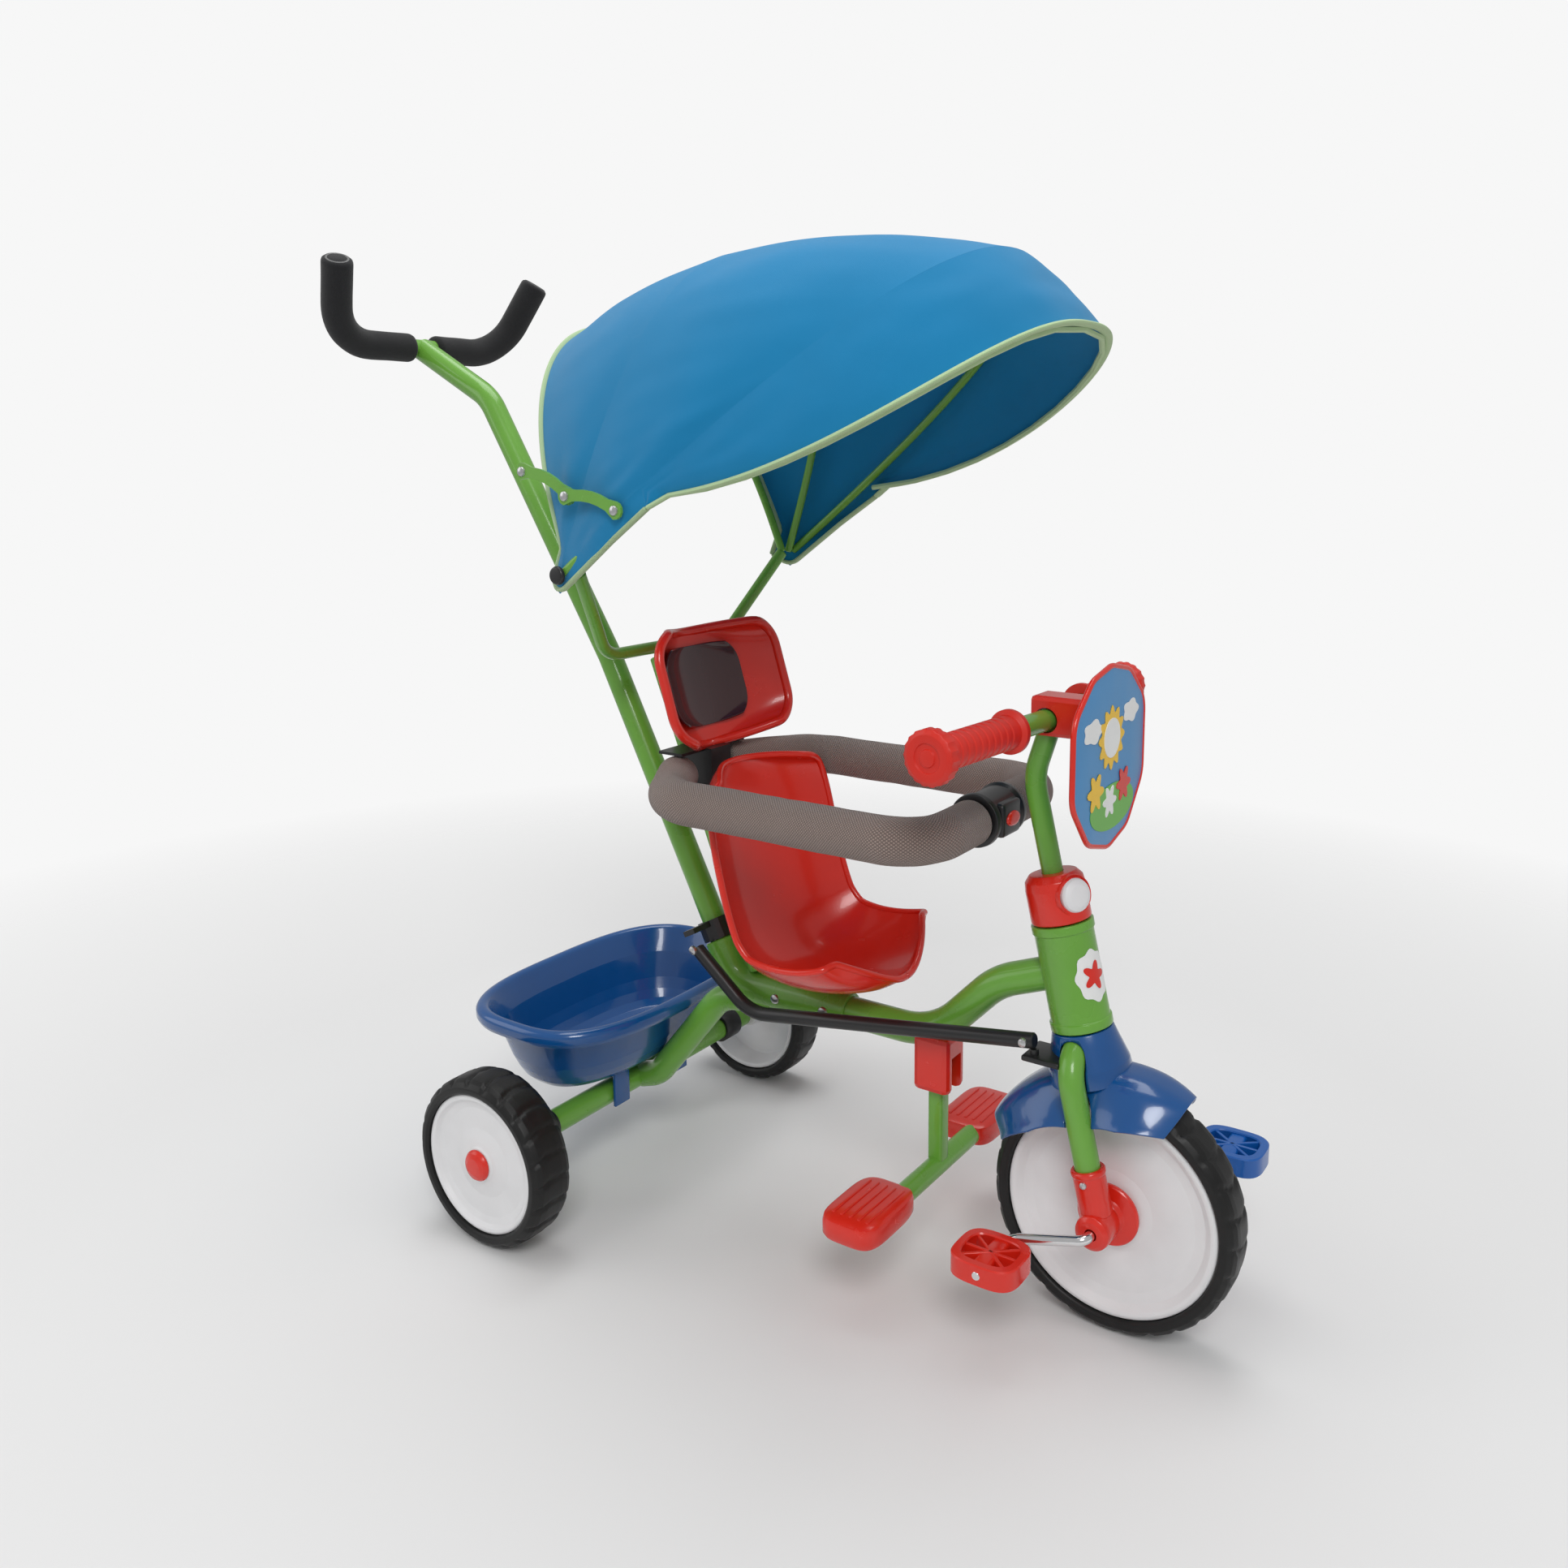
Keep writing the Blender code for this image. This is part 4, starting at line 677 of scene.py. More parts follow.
def build_frame():
    look = palette()
    line = rounded([steer(0.2255), place(0.470, 0.3105), place(0.400, MAIN_HEIGHT),
                    place(0.262, MAIN_HEIGHT)], 0.090)
    main = tube("frame_main_tube", line, 0.016)
    finished(main, look.green, "frame", ["main_tube"], "green_paint")
    rear = tube("frame_rear_tube", rear_tube_line(), 0.019)
    finished(rear, look.green, "frame", ["rear_tube"], "green_paint")
    line = rounded([place(0.200, 0.228), place(0.126, 0.216), place(0.030, 0.099),
                    place(0.004, REAR_RADIUS)], 0.050)
    stay = tube("frame_stay", line, 0.0148)
    axle = tube("frame_axle", [place(0, REAR_RADIUS, y) for y in (-0.1955, 0.0, 0.1955)], 0.0135)
    finished(join([stay, axle], "frame_axle_and_stay"), look.green, "frame", ["axle_frame"],
             "green_paint")
    column = tube("seat_column", [column_point(share / 8) for share in range(9)], 0.013)
    finished(column, look.green, "frame", ["back_column"], "green_paint")
    ring = 0.0295
    profile = eased([(0.022, 0.1000), (ring, 0.1000), (ring, 0.0920), (0.028, 0.0912), (0.028, 0.0088),
                     (ring, 0.0080), (ring, 0.0), (0.022, 0.0)], 0.0008)
    head = lathe("head_tube_shell", profile + [(0.022, 0.1000)], steer(0.172), STEER_AXIS)
    finished(head, look.green, "frame", ["head_tube"], "green_paint")
    repaint(["ring_bracket"], look.black)
    repaint(["axle_rod"], look.zinc)

    for side, word in SIDES:
        start = place(0.0, REAR_RADIUS, side * 0.158)
        profile = [(0.0138, 0.014), (0.0175, 0.014), (0.0175, -0.014), (0.0138, -0.014)]
        band = lathe("axle_collar_" + word, eased(profile, 0.0015), start, LEFT)
        finished(band, look.black, "frame", slot="black_plastic")
    screw_head("frame_bolt", place(0.276, MAIN_HEIGHT, -0.0188), -LEFT, 0.0062, "frame")
    screw_head("stay_bolt", place(0.214, 0.2390, -0.0186), -LEFT, 0.0055, "frame")
    screw_head("column_screw", column_point(0.52) + Vector((0.0, -0.0128, 0.0)), -LEFT, 0.0042, "frame")
    head_sticker("head_badge", lambda turn, v: v * 0.0200 * (1.0 + 0.06 * math.cos(8.0 * turn) * v),
                 1.18, 0.0284, 48, 8, look.cream, "white_plastic")
    head_sticker("head_badge_flower", lambda turn, v: v * (0.0105 + 0.0035 * math.cos(5.0 * turn)),
                 1.0, 0.0288, 60, 5, look.red, "red_plastic")


# ---------------------------------------------------------------- seat
def dished(spine, half_width, dish, top=0.0, foot=0.0, lift=0.0, narrow=1.0, span=(0.0, 1.0)):
    """A shell across a spine of (ahead, height) with raised sides and rounded ends.

    top and foot are the shares of the spine over which the ends round off.
    """
    path = [place(a, h) for a, h in spine]

    def shape(u, v):
        share = (-1.0 + 2.0 * u) * narrow
        pull = 0.5 + (v - 0.5) * (1.0 - 0.07 * abs(share / narrow) ** 4)
        run = span[0] + (span[1] - span[0]) * pull
        point = glide(path, run)
        ahead = (glide(path, min(run + 0.01, 1.0)) - glide(path, max(run - 0.01, 0.0))).normalized()
        normal = Vector((-ahead.z, 0.0, ahead.x))
        wide = 1.0
        for size, gone in ((top, pull), (foot, 1.0 - pull)):
            if size > 0.0 and gone < size:
                wide = 0.50 + 0.50 * (1.0 - (1.0 - gone / size) ** 2.2) ** (1.0 / 2.2)
        return (point + normal * (dish * abs(share) ** 2.4 + lift)
                + LEFT * (share * half_width * wide))

    return shape


def bead(name, shape, radius, count=60):
    """A rounded lip all the way round the edge of a shell."""
    edge = [shape(0.5 + 0.5 * i / count, 1.0) for i in range(count)]
    edge += [shape(1.0, 1.0 - i / count) for i in range(count)]
    edge += [shape(1.0 - i / count, 0.0) for i in range(count)]
    edge += [shape(0.0, i / count) for i in range(count)]
    edge += [shape(0.5 * i / count, 1.0) for i in range(count + 1)]
    for _ in range(3):
        inner = [(a + b * 2.0 + c) * 0.25 for a, b, c in zip(edge, edge[1:], edge[2:])]
        edge = [edge[0]] + inner + [edge[-1]]
    return tube(name, edge, radius, sides=14)


def build_seat():
    look = palette()
    spine = [(0.1480, 0.488), (0.150, 0.468), (0.157, 0.430), (0.167, 0.385), (0.180, 0.340),
             (0.196, 0.305), (0.224, 0.279), (0.262, 0.2700), (0.305, 0.2715), (0.345, 0.281),
             (0.366, 0.292)]
    seat_shape = dished(spine, SEAT_HALF_WIDTH, 0.045, top=0.26, foot=0.20)
    seat = surface("seat_bucket_shell", 48, 90, seat_shape, weld=False)
    thicken(seat, 0.0038, 0.0)
    lip = bead("seat_lip", seat_shape, 0.0036, 90)
    finished(join([seat, lip], "seat_bucket"), look.red, "frame", ["seat_shell"], "red_plastic")

    back = [(BACK_TOP[0] + BACK_DROP[0] * i / 8, BACK_TOP[1] - BACK_DROP[1] * i / 8)
            for i in range(9)]
    back_shape = dished(back, BACK_HALF_WIDTH, 0.046, top=0.30, foot=0.30)
    shell = surface("backrest_shell_skin", 48, 48, back_shape, weld=False)
    thicken(shell, 0.0050, 0.0)
    lip = bead("backrest_lip", back_shape, 0.0052)
    finished(join([shell, lip], "backrest_moulding"), look.red, "frame", ["backrest_shell"], "red_plastic")
    inset_shape = dished(back, BACK_HALF_WIDTH, 0.046, top=0.34, foot=0.34, lift=0.0044,
                         narrow=0.62, span=(0.13, 0.84))
    inset = surface("backrest_inset", 36, 36, inset_shape, weld=False)
    thicken(inset, 0.0024, 0.0, rim=0.0006)
    finished(inset, look.maroon, "frame", ["backrest_panel"], "back_panel")


# ---------------------------------------------------------------- safety ring
def ring_line(side):
    wide = side * RING_HALF_WIDTH
    points = [place(0.105, RING_HEIGHT, side * 0.041), place(0.165, RING_HEIGHT, wide),
              place(RING_FRONT, RING_HEIGHT, wide), place(RING_FRONT, RING_HEIGHT, side * 0.0312)]
    return rounded(points, 0.062, 14)


def soft_tube(name, path, radius, along, swell=0.0006, sides=48):
    """A foam-covered bar: soft ends, and a slightly uneven skin."""
    ends = 0.006
    points = [along_path(path, i / along) for i in range(along + 1)]
    frames = axes_along(points)
    length = path_length(path)

    def shape(u, v):
        index = round(v * along)
        side, up = frames[index]
        near_end = min(v, 1.0 - v) * length
        ease = min(near_end / ends, 1.0)
        wide = radius * (0.80 + 0.20 * math.sqrt(1.0 - (1.0 - ease) ** 2))
        turn = 2.0 * math.pi * u
        way = side * math.cos(turn) + up * math.sin(turn)
        uneven = noise.noise(points[index] * 40 + way * 0.7)
        return points[index] + way * (wide - swell + swell * uneven)

    return surface(name, sides, along, shape, fill=True)


def build_ring():
    look = palette()
    for side, word in SIDES:
        half = soft_tube("ring_cover_" + word, ring_line(side), 0.0225, 150)
        finished(half, look.net, "ring_" + word, ["ring_" + word], "ring_cloth")
    middle = place(RING_FRONT, RING_HEIGHT)
    profile = eased([(0.0185, 0.0302), (0.0255, 0.0302), (0.0262, 0.0240), (0.0238, 0.0200),
                     (0.0238, -0.0200), (0.0262, -0.0240), (0.0255, -0.0302), (0.0185, -0.0302)],
                    0.001)
    collar = lathe("buckle_collar", profile, middle, LEFT, fill=True)
    front = middle + Vector((0.0170, 0.0, 0.0))
    housing = block("buckle_housing", front + Vector((-0.012, -0.0185, -0.0165)),
                    front + Vector((0.0085, 0.0185, 0.0165)), 0.004)
    finished(join([collar, housing], "buckle_body"), look.black, "ring_right", ["ring_buckle"],
             "black_plastic")
    face = middle + Vector((0.0262, 0.0, 0.0))

    def oval(u, v):
        turn = 2.0 * math.pi * u
        rim = min(v * 1.25, 1.0)
        rise = 0.0028 * math.sqrt(max(0.0, 1.0 - rim ** 4)) if v < 0.8 else -(v - 0.8) * 0.03
        return face + Vector((rise, math.cos(turn) * 0.0125 * rim, math.sin(turn) * 0.0072 * rim))

    button = surface("buckle_oval_button", 48, 10, oval)
    finished(button, look.red, "buckle_button", ["buckle_button"], "red_plastic")


# ---------------------------------------------------------------- basket
def oval_point(half_x, half_y, square, turn):
    power = 2.0 / square
    x = math.copysign(abs(math.cos(turn)) ** power, math.cos(turn)) * half_x
    y = math.copysign(abs(math.sin(turn)) ** power, math.sin(turn)) * half_y
    return x, y


def build_basket():
    look = palette()
    levels = [(0.0105, -0.0125), (0.0125, -0.0085), (0.0125, -0.002), (0.0105, 0.0015), (0.0060, 0.0030),
              (0.0025, 0.0012), (0.0, -0.004), (-0.004, -0.012), (-0.010, -0.025), (-0.015, -0.040),
              (-0.020, -0.055), (-0.026, -0.068), (-0.032, -0.078), (-0.040, -0.0855), (-0.052, -0.0900),
              (-0.070, -0.0915), (-0.090, -0.0920), (-0.0965, -0.0920)]
    outline = [Vector((grow, drop, 0.0)) for grow, drop in levels]
    line = rounded(outline, 0.004, 2)

    def shape(u, v):
        at = line[round(v * (len(line) - 1))]
        grow, drop = at.x, at.y
        share = max(-drop / BASKET_DEPTH, 0.0)
        x, y = oval_point(BASKET_HALF[0] + grow, BASKET_HALF[1] + grow, 3.0 - 0.5 * share,
                          2.0 * math.pi * u)
        if v > 0.999:
            x, y = 0.0, 0.0
        rib = 0.0010 * math.sin(share * math.pi) if 0.2 < share < 0.8 else 0.0
        ribbed = 1.0 - rib * abs(math.cos(22.0 * math.pi * u)) * 4.0
        return place(BASKET_MIDDLE[0] - 0.006 * share + x * ribbed, BASKET_MIDDLE[1] + drop,
                     y * ribbed)

    tub = surface("basket_tub", 120, len(line) - 1, shape, angle=60)
    thicken(tub, 0.0030, 0.0)
    clips = []
    for side in (-1, 1):
        clip = block("basket_clip", place(0.0150, 0.0790, side * 0.05 - 0.012),
                     place(0.0190, 0.1240, side * 0.05 + 0.012), 0.0012)
        clips.append(clip)
    finished(join([tub, *clips], "basket_tub"), look.blue, "basket", ["basket"], "blue_plastic")


# ---------------------------------------------------------------- footrest
def rounded_pad(name, centre, half, ribs, bevel, material, body, node, slot):
    """A pad with full round corners and raised ribs across its top."""
    outline = ((0.0, 1.0), (0.45, 1.0), (0.86, 1.0), (0.97, 0.80), (1.0, 0.45), (1.0, -0.55),
               (0.95, -0.90), (0.80, -1.0), (0.0, -1.0))

    def shape(u, v):
        x, y = oval_point(half.x, half.y, 4.2, 2.0 * math.pi * u)
        wide, tall = outline[round(v * (len(outline) - 1))]
        return centre + Vector((x * wide, y * wide, half.z * tall))

    pieces = [surface(name, 72, len(outline) - 1, shape)]
    for i in range(ribs):
        at = (i - (ribs - 1) / 2) * (1.5 * half.x / ribs)
        low = centre + Vector((at - 0.0016, -half.y * 0.72, half.z - 0.001))
        high = centre + Vector((at + 0.0016, half.y * 0.72, half.z + 0.0012))
        pieces.append(block(name + "_rib", low, high, bevel))
    return finished(join(pieces, name), material, body, [node], slot)


def build_footrest():
    look = palette()
    line = [place(KNUCKLE[0], FOOT_BAR_HEIGHT, y) for y in (-0.150, 0.0, 0.150)]
    bar = tube("footrest_cross_tube", line, 0.0105)
    strut = block("footrest_strut", place(KNUCKLE[0] - 0.008, 0.102, -0.0084),
                  place(KNUCKLE[0] + 0.008, 0.2165, 0.0084), 0.003)
    finished(join([bar, strut], "footrest_tubes"), look.green, "footrest", ["footrest_bar"],
             "green_paint")
    for side, word in SIDES:
        centre = place(KNUCKLE[0] - 0.012, FOOT_BAR_HEIGHT, side * 0.112)
        rounded_pad("foot_pad_" + word, centre, Vector((0.0315, 0.046, 0.0115)), 5, 0.0010, look.red,
                    "footrest", "footrest_pad_" + word, "red_plastic")
    repaint(["footrest_hanger"], look.red)


# ---------------------------------------------------------------- canopy
REAR_BOW = (111.0, 0.258, 0.166, 2.4)
MID_BOW = (71.0, 0.322, 0.178, 2.6)
FRONT_BOW = (37.5, 0.478, 0.188, 2.3)


def bow_point(bow, share, grow=0.0):
    angle, reach, half_width, square = bow
    turn = share * math.pi / 2
    power = 2.0 / square
    out = (reach + grow) * abs(math.cos(turn)) ** power
    side = math.copysign(abs(math.sin(turn)) ** power, turn) * (half_width + grow)
    lean = math.radians(angle)
    return place(PIVOT[0] + out * math.cos(lean), PIVOT[1] + out * math.sin(lean), side)


def bow_line(bow, count=72, grow=0.0):
    points = []
    for i in range(count + 1):
        even = -1.0 + 2.0 * i / count
        points.append(bow_point(bow, even * (1.35 - 0.35 * abs(even)), grow))
    return points


def brim_line(count=72, grow=0.0):
    points = []
    for i in range(count + 1):
        even = -1.0 + 2.0 * i / count
        turn = even * (1.35 - 0.35 * abs(even)) * math.pi / 2
        power = 2.0 / 2.6
        part = abs(math.cos(turn)) ** power
        side = math.copysign(abs(math.sin(turn)) ** power, turn) * (0.181 + grow)
        ahead = BRIM_FOOT[0] + (BRIM_TOP[0] - BRIM_FOOT[0] + grow) * part
        rise = 0.2 * part + 0.8 * part ** 2
        height = BRIM_FOOT[1] + (BRIM_TOP[1] - BRIM_FOOT[1]) * rise + grow * part
        points.append(place(ahead, height, side))
    return points


def cloth_edge(bow, foot, shortest):
    """The cloth's line over a bow: the part of it above the hem, and the hem's own point."""
    wide = (bow[0], bow[1], bow[2] + 0.004, bow[3])
    root = place(*PIVOT)
    line = []
    for point in bow_line(wide, 96, 0.0058):
        out = Vector((point.x - root.x, 0.0, point.z - root.z)).length
        if out > shortest:
            line.append(point)
    right = place(foot[0], foot[1], line[0].y)
    left = place(foot[0], foot[1], line[-1].y)
    return [right, *line, left]


def cloth_panel(name, first, last, sag, wrinkle, across=150, along=26):
    def shape(u, v):
        a = along_path(first, u)
        b = along_path(last, u)
        point = a.lerp(b, v)
        inward = (place(0.24, 0.74) - point).normalized()
        dip = sag * math.sin(math.pi * v) * (0.25 + 0.75 * math.sin(math.pi * u) ** 0.5)
        crease = noise.noise(Vector((u * 9.0, v * 2.2, 3.0))) * wrinkle * math.sin(math.pi * v)
        fine = noise.noise(Vector((u * 26.0, v * 3.0, 8.0))) * wrinkle * 0.35
        ease = min(1.0, 6.0 * min(v, 1.0 - v))
        return point + inward * (dip + crease + fine * ease)

    return surface(name, across, along, shape, weld=False, angle=80)


def cloth_area(item):
    return sum(face.area for face in item.data.polygons)


def binding(name, path, count):
    """A folded strip sewn round the edge of the cloth."""
    points = [along_path(path, i / count) for i in range(count + 1)]
    return tube(name, points, 0.0045, flat=0.55, sides=12)


def build_canopy():
    look = palette()
    posts = [place(*PIVOT, -CANOPY_POST_SIDE), place(0.060, 0.607, -0.098),
             place(0.060, 0.607, 0.098), place(*PIVOT, CANOPY_POST_SIDE)]
    u_frame = tube("canopy_support", rounded(posts, 0.040, 12), 0.0065)
    finished(u_frame, look.green, "frame", ["canopy_u_frame"], "green_paint")
    for bow, body, node in ((REAR_BOW, "frame", "rear_bow"), (MID_BOW, "canopy_mid", "mid_bow"),
                            (FRONT_BOW, "canopy_front", "front_bow")):
        hoop = tube("canopy_" + node, bow_line(bow), 0.0044, sides=14)
        finished(hoop, look.green, body, [node], "green_paint")
    repaint(["brim_wire"], look.trim)

    notch = (0.2075, 0.7665)
    rear_edge = cloth_edge(REAR_BOW, (PIVOT[0] - 0.022, PIVOT[1] - 0.004), 0.020)
    mid_edge = cloth_edge(MID_BOW, (PIVOT[0] - 0.004, PIVOT[1] - 0.018), 0.024)
    front_edge = cloth_edge(FRONT_BOW, notch, 0.135)
    brim_edge = brim_line(96, 0.004)
    brim_edge[0] = front_edge[0].copy()
    brim_edge[-1] = front_edge[-1].copy()
    wall = sizes().cloth_wall
    swell = sizes().cloth_swell
    made = {}
    for name, first, last, dip, fold in (("rear", rear_edge, mid_edge, -swell * 0.5, 0.0030),
                                         ("middle", mid_edge, front_edge, -swell, 0.0040),
                                         ("front", front_edge, brim_edge, -swell * 0.3, 0.0030)):
        panel = cloth_panel("canopy_cloth_" + name, first, last, dip, fold)
        widest = max((along_path(first, i / 20) - along_path(last, i / 20)).length for i in range(21))
        seam = max(path_length(first), path_length(last))
        made[name] = (panel, round(cloth_area(panel), 3),
                      (round(widest + SEAM_ALLOWANCE, 3), round(seam, 3)))
        thicken(panel, wall, 0.0)

    hems = {"front": [binding("hem_front", brim_edge, 150)]}
    hems["rear"] = [binding("hem_rear", rear_edge, 120)]
    hems["middle"] = []
    for end, word in ((0, "right"), (-1, "left")):
        low = rear_edge[end]
        bottom = mid_edge[end]
        top = front_edge[end]
        bend = bottom.lerp(top, 0.55) + Vector((0.006, 0.0, 0.006))
        hems["middle"].append(binding("hem_side_" + word, rounded([low, bottom, bend, top], 0.05), 40))
    hems["middle"] = [join(hems["middle"], "hem_sides")]

    rest = {"rear": ("frame", "canopy_mid", REAR_BOW, MID_BOW),
            "middle": ("canopy_mid", "canopy_front", MID_BOW, FRONT_BOW)}
    nodes = {"rear": "canopy_rear_panel", "middle": "canopy_mid_panel", "front": "canopy_front_panel"}
    for name, (panel, area, flat) in made.items():
        body = None if name in rest else "canopy_front"
        finished(panel, look.cloth, body, [nodes[name]], "canopy_cloth")
        for hem in hems[name]:
            finished(hem, look.trim, body, slot="canopy_cloth")
        if name in rest:
            low, high, first, last = rest[name]
            for item in (panel, *hems[name]):
                bow_point(first, 0.0)
                bow_point(last, 0.0)
                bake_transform(item)
        [item.name for item in hems[name]]


def build_stays():
    look = palette()
    repaint(["stay_rear_left", "stay_rear_right", "stay_front_left", "stay_front_right"], look.green)
    points = {}
    for bow, word in ((REAR_BOW, "rear"), (FRONT_BOW, "front")):
        lean = math.radians(bow[0])
        points[word] = Vector((PIVOT[0] + STAY_REACH * math.cos(lean),
                               PIVOT[1] + STAY_REACH * math.sin(lean)))
    half = (points["front"] - points["rear"]).length / 2
    middle = (points["rear"] + points["front"]) / 2
    towards = (Vector(PIVOT) - middle).normalized()
    middle = middle + towards * half * math.tan(STAY_OVER_CENTRE)
    for side, word in SIDES:
        out = LEFT * side
        for spot, body, name, level in ((points["rear"], "frame", "rear", 0.1995),
                                        (points["front"], "canopy_front", "front", 0.2028),
                                        (middle, "stay_front", "middle", 0.2028)):
            base = place(spot.x, spot.y, side * level)
            screw_head("stay_rivet_%s_%s" % (name, word), base, out, 0.0050, body)
        knob = lathe("canopy_pivot_cap_" + word, eased([(0.0, 0.005), (0.008, 0.005), (0.010, 0.0),
                                                        (0.0, 0.0)], 0.002),
                     place(*PIVOT, side * 0.1925), out, steps=32)
        finished(knob, look.black, "frame", slot="black_plastic")


# ---------------------------------------------------------------- fork and fender
def fork_line():
    return rounded([steer(FORK_FOOT, -FORK_SIDE), steer(FORK_SHOULDER, -FORK_SIDE),
                    steer(FORK_SHOULDER, FORK_SIDE), steer(FORK_FOOT, FORK_SIDE)], 0.032, 12)


def fender_shape(u, v):
    """The mudguard's skin: an arch over the tyre, deeper and less flared beside the fork."""
    angle = math.radians(-50.0 + 93.0 * v)
    near_leg = math.exp(-(angle / math.radians(17.0)) ** 2)
    tip = max(0.0, abs(2.0 * v - 1.0) - 0.55) / 0.45
    half = 0.0425 * (1.0 - 0.35 * tip ** 2)
    skirt = 0.034 - 0.010 * tip + 0.010 * near_leg
    share = -1.0 + 2.0 * u
    radius = FRONT_RADIUS + 0.0135 + 0.004 * abs(angle) - skirt * abs(share) ** 3.2
    flare = 0.010 * (1.0 - near_leg) * abs(share) ** 8
    return steer(radius * math.cos(angle), share * (half + flare), radius * math.sin(angle))


def build_fork():
    look = palette()
    legs = tube("fork_legs", fork_line(), 0.012)
    post = tube("fork_post", [steer(0.161), steer(0.23), steer(0.294)], 0.0125)
    finished(join([legs, post], "fork_tubes"), look.green, "steering", ["fork"], "green_paint")
    lug = block("steering_lug", place(0.518, 0.2600, -0.047), place(0.556, 0.2655, -0.008), 0.0020)
    pin = lathe("steering_lug_pin", [(0.0, 0.0112), (0.0040, 0.0108), (0.0042, 0.0), (0.0, 0.0)],
                place(0.528, 0.2600, -0.038), Vector((0.0, 0.0, 1.0)), steps=24)
    finished(join([lug, pin], "steering_lug"), look.black, "steering", slot="black_plastic")
    shell = surface("mudguard_skin", 44, 80, fender_shape, weld=False)
    thicken(shell, 0.0025, 1.0, rim=0.0008)
    profile = eased([(0.0265, 0.1705), (0.0290, 0.1705), (0.0320, 0.1600), (0.0385, 0.1382),
                     (0.0400, 0.1222), (0.0360, 0.1222), (0.0350, 0.1382), (0.0265, 0.1640)], 0.003)
    collar = lathe("mudguard_collar", profile + [(0.0265, 0.1705)], steer(0.0), STEER_AXIS)
    guard = finished(join([shell, collar], "mudguard"), look.blue, "steering", ["front_fender"],
                     "blue_plastic")
    fork_room = tube("fork_room", fork_line(), 0.0132)
    cut = guard.modifiers.new("fork_room", "BOOLEAN")
    cut.operation = "DIFFERENCE"
    cut.solver = "EXACT"
    cut.object = fork_room
    only(guard)
    bpy.ops.object.modifier_apply(modifier=cut.name)
    bpy.data.objects.remove(fork_room, do_unlink=True)
    for side, word in SIDES:
        out = LEFT * side
        axle = place(WHEELBASE, FRONT_RADIUS)
        profile = [(0.0058, 0.0625), (0.0120, 0.0625), (0.0160, 0.0600), (0.0168, 0.0560),
                   (0.0168, 0.0340), (0.0150, 0.0318), (0.0058, 0.0318), (0.0058, 0.0625)]
        barrel = lathe("bearing_barrel", eased(profile, 0.0015), axle, out, steps=40)
        profile = [(0.0124, 0.0545), (0.0150, 0.0545), (0.0162, 0.0530), (0.0162, 0.0500),
                   (0.0152, 0.0480), (0.0152, 0.0120), (0.0124, 0.0090)]
        sleeve = lathe("bearing_sleeve", eased(profile, 0.0012), steer(0.0, side * FORK_SIDE),
                       STEER_AXIS, steps=40)
        middle = steer(0.0225, side * FORK_SIDE)
        cheek = block("bearing_cheek", middle - Vector((0.0115, 0.0110, 0.0150)),
                      middle + Vector((0.0115, 0.0110, 0.0100)), 0.003, (0.0, -RAKE, 0.0))
        finished(join([barrel, sleeve, cheek], "bearing_" + word), look.red, "steering",
                 ["bearing_block_" + word], "red_plastic")
        screw_head("fork_screw_" + word, steer(0.0440, side * 0.0575), out, 0.0036, "steering")

    profile = [(0.0105, 0.0455), (0.0225, 0.0455), (0.0275, 0.0395), (0.0285, 0.0315), (0.0285, 0.0),
               (0.0128, 0.0)]
    profile = eased([(radius, COLLAR_FOOT + rise) for radius, rise in profile], 0.002)
    collar = lathe("release_collar", profile, steer(0.0), STEER_AXIS)
    finished(collar, look.red, "steering", ["collar"], "red_plastic")
    aim = square_to_steering(BUTTON_BEARING)
    base = steer(COLLAR_FOOT + 0.0245) + aim * 0.0210
    profile = eased([(0.0, 0.0125), (0.0100, 0.0116), (0.0148, 0.0090), (0.0160, 0.0060), (0.0160, 0.0),
                     (0.0, 0.0)], 0.0015)
    button = lathe("release_button", profile, base, aim, steps=48)
    finished(button, look.white, "collar_button", ["collar_button"], "white_plastic")
    profile = [(0.0170, 0.0), (0.0190, 0.0035), (0.0200, -0.004), (0.0170, -0.004)]
    rim = lathe("release_button_bezel", eased(profile, 0.0008), base + aim * 0.0032, aim)
    finished(rim, look.red, "steering", slot="red_plastic")


# ---------------------------------------------------------------- handlebar
def plate_points():
    corners = [(-0.55, -0.86), (0.0, -1.0), (0.55, -0.86), (1.0, -0.36), (1.0, 0.52), (0.52, 0.90),
               (0.0, 1.0), (-0.52, 0.90), (-1.0, 0.52), (-1.0, -0.36)]
    points = [place(PLATE[0], PLATE[1] + z * PLATE_HALF[1], y * PLATE_HALF[0]) for y, z in corners]
    loop = points[-1:] + points + points[:1]
    return rounded(loop, 0.030, 8)[1:-1]


def disc_shape(name, centre, radius, thick, material, squash, petals, depth):
    """A flat sticker shape, round or with petals, facing forward."""
    def shape(u, v):
        turn = 2.0 * math.pi * u
        wide = radius * (1.0 + depth * math.cos(petals * turn)) * min(v * 1.2, 1.0)
        back = thick if v < 0.84 else 0.0
        return centre + Vector((back, math.cos(turn) * wide, math.sin(turn) * wide * squash))

    item = surface(name, 72, 6, shape)
    return finished(item, material, "steering", slot="plate_blue")


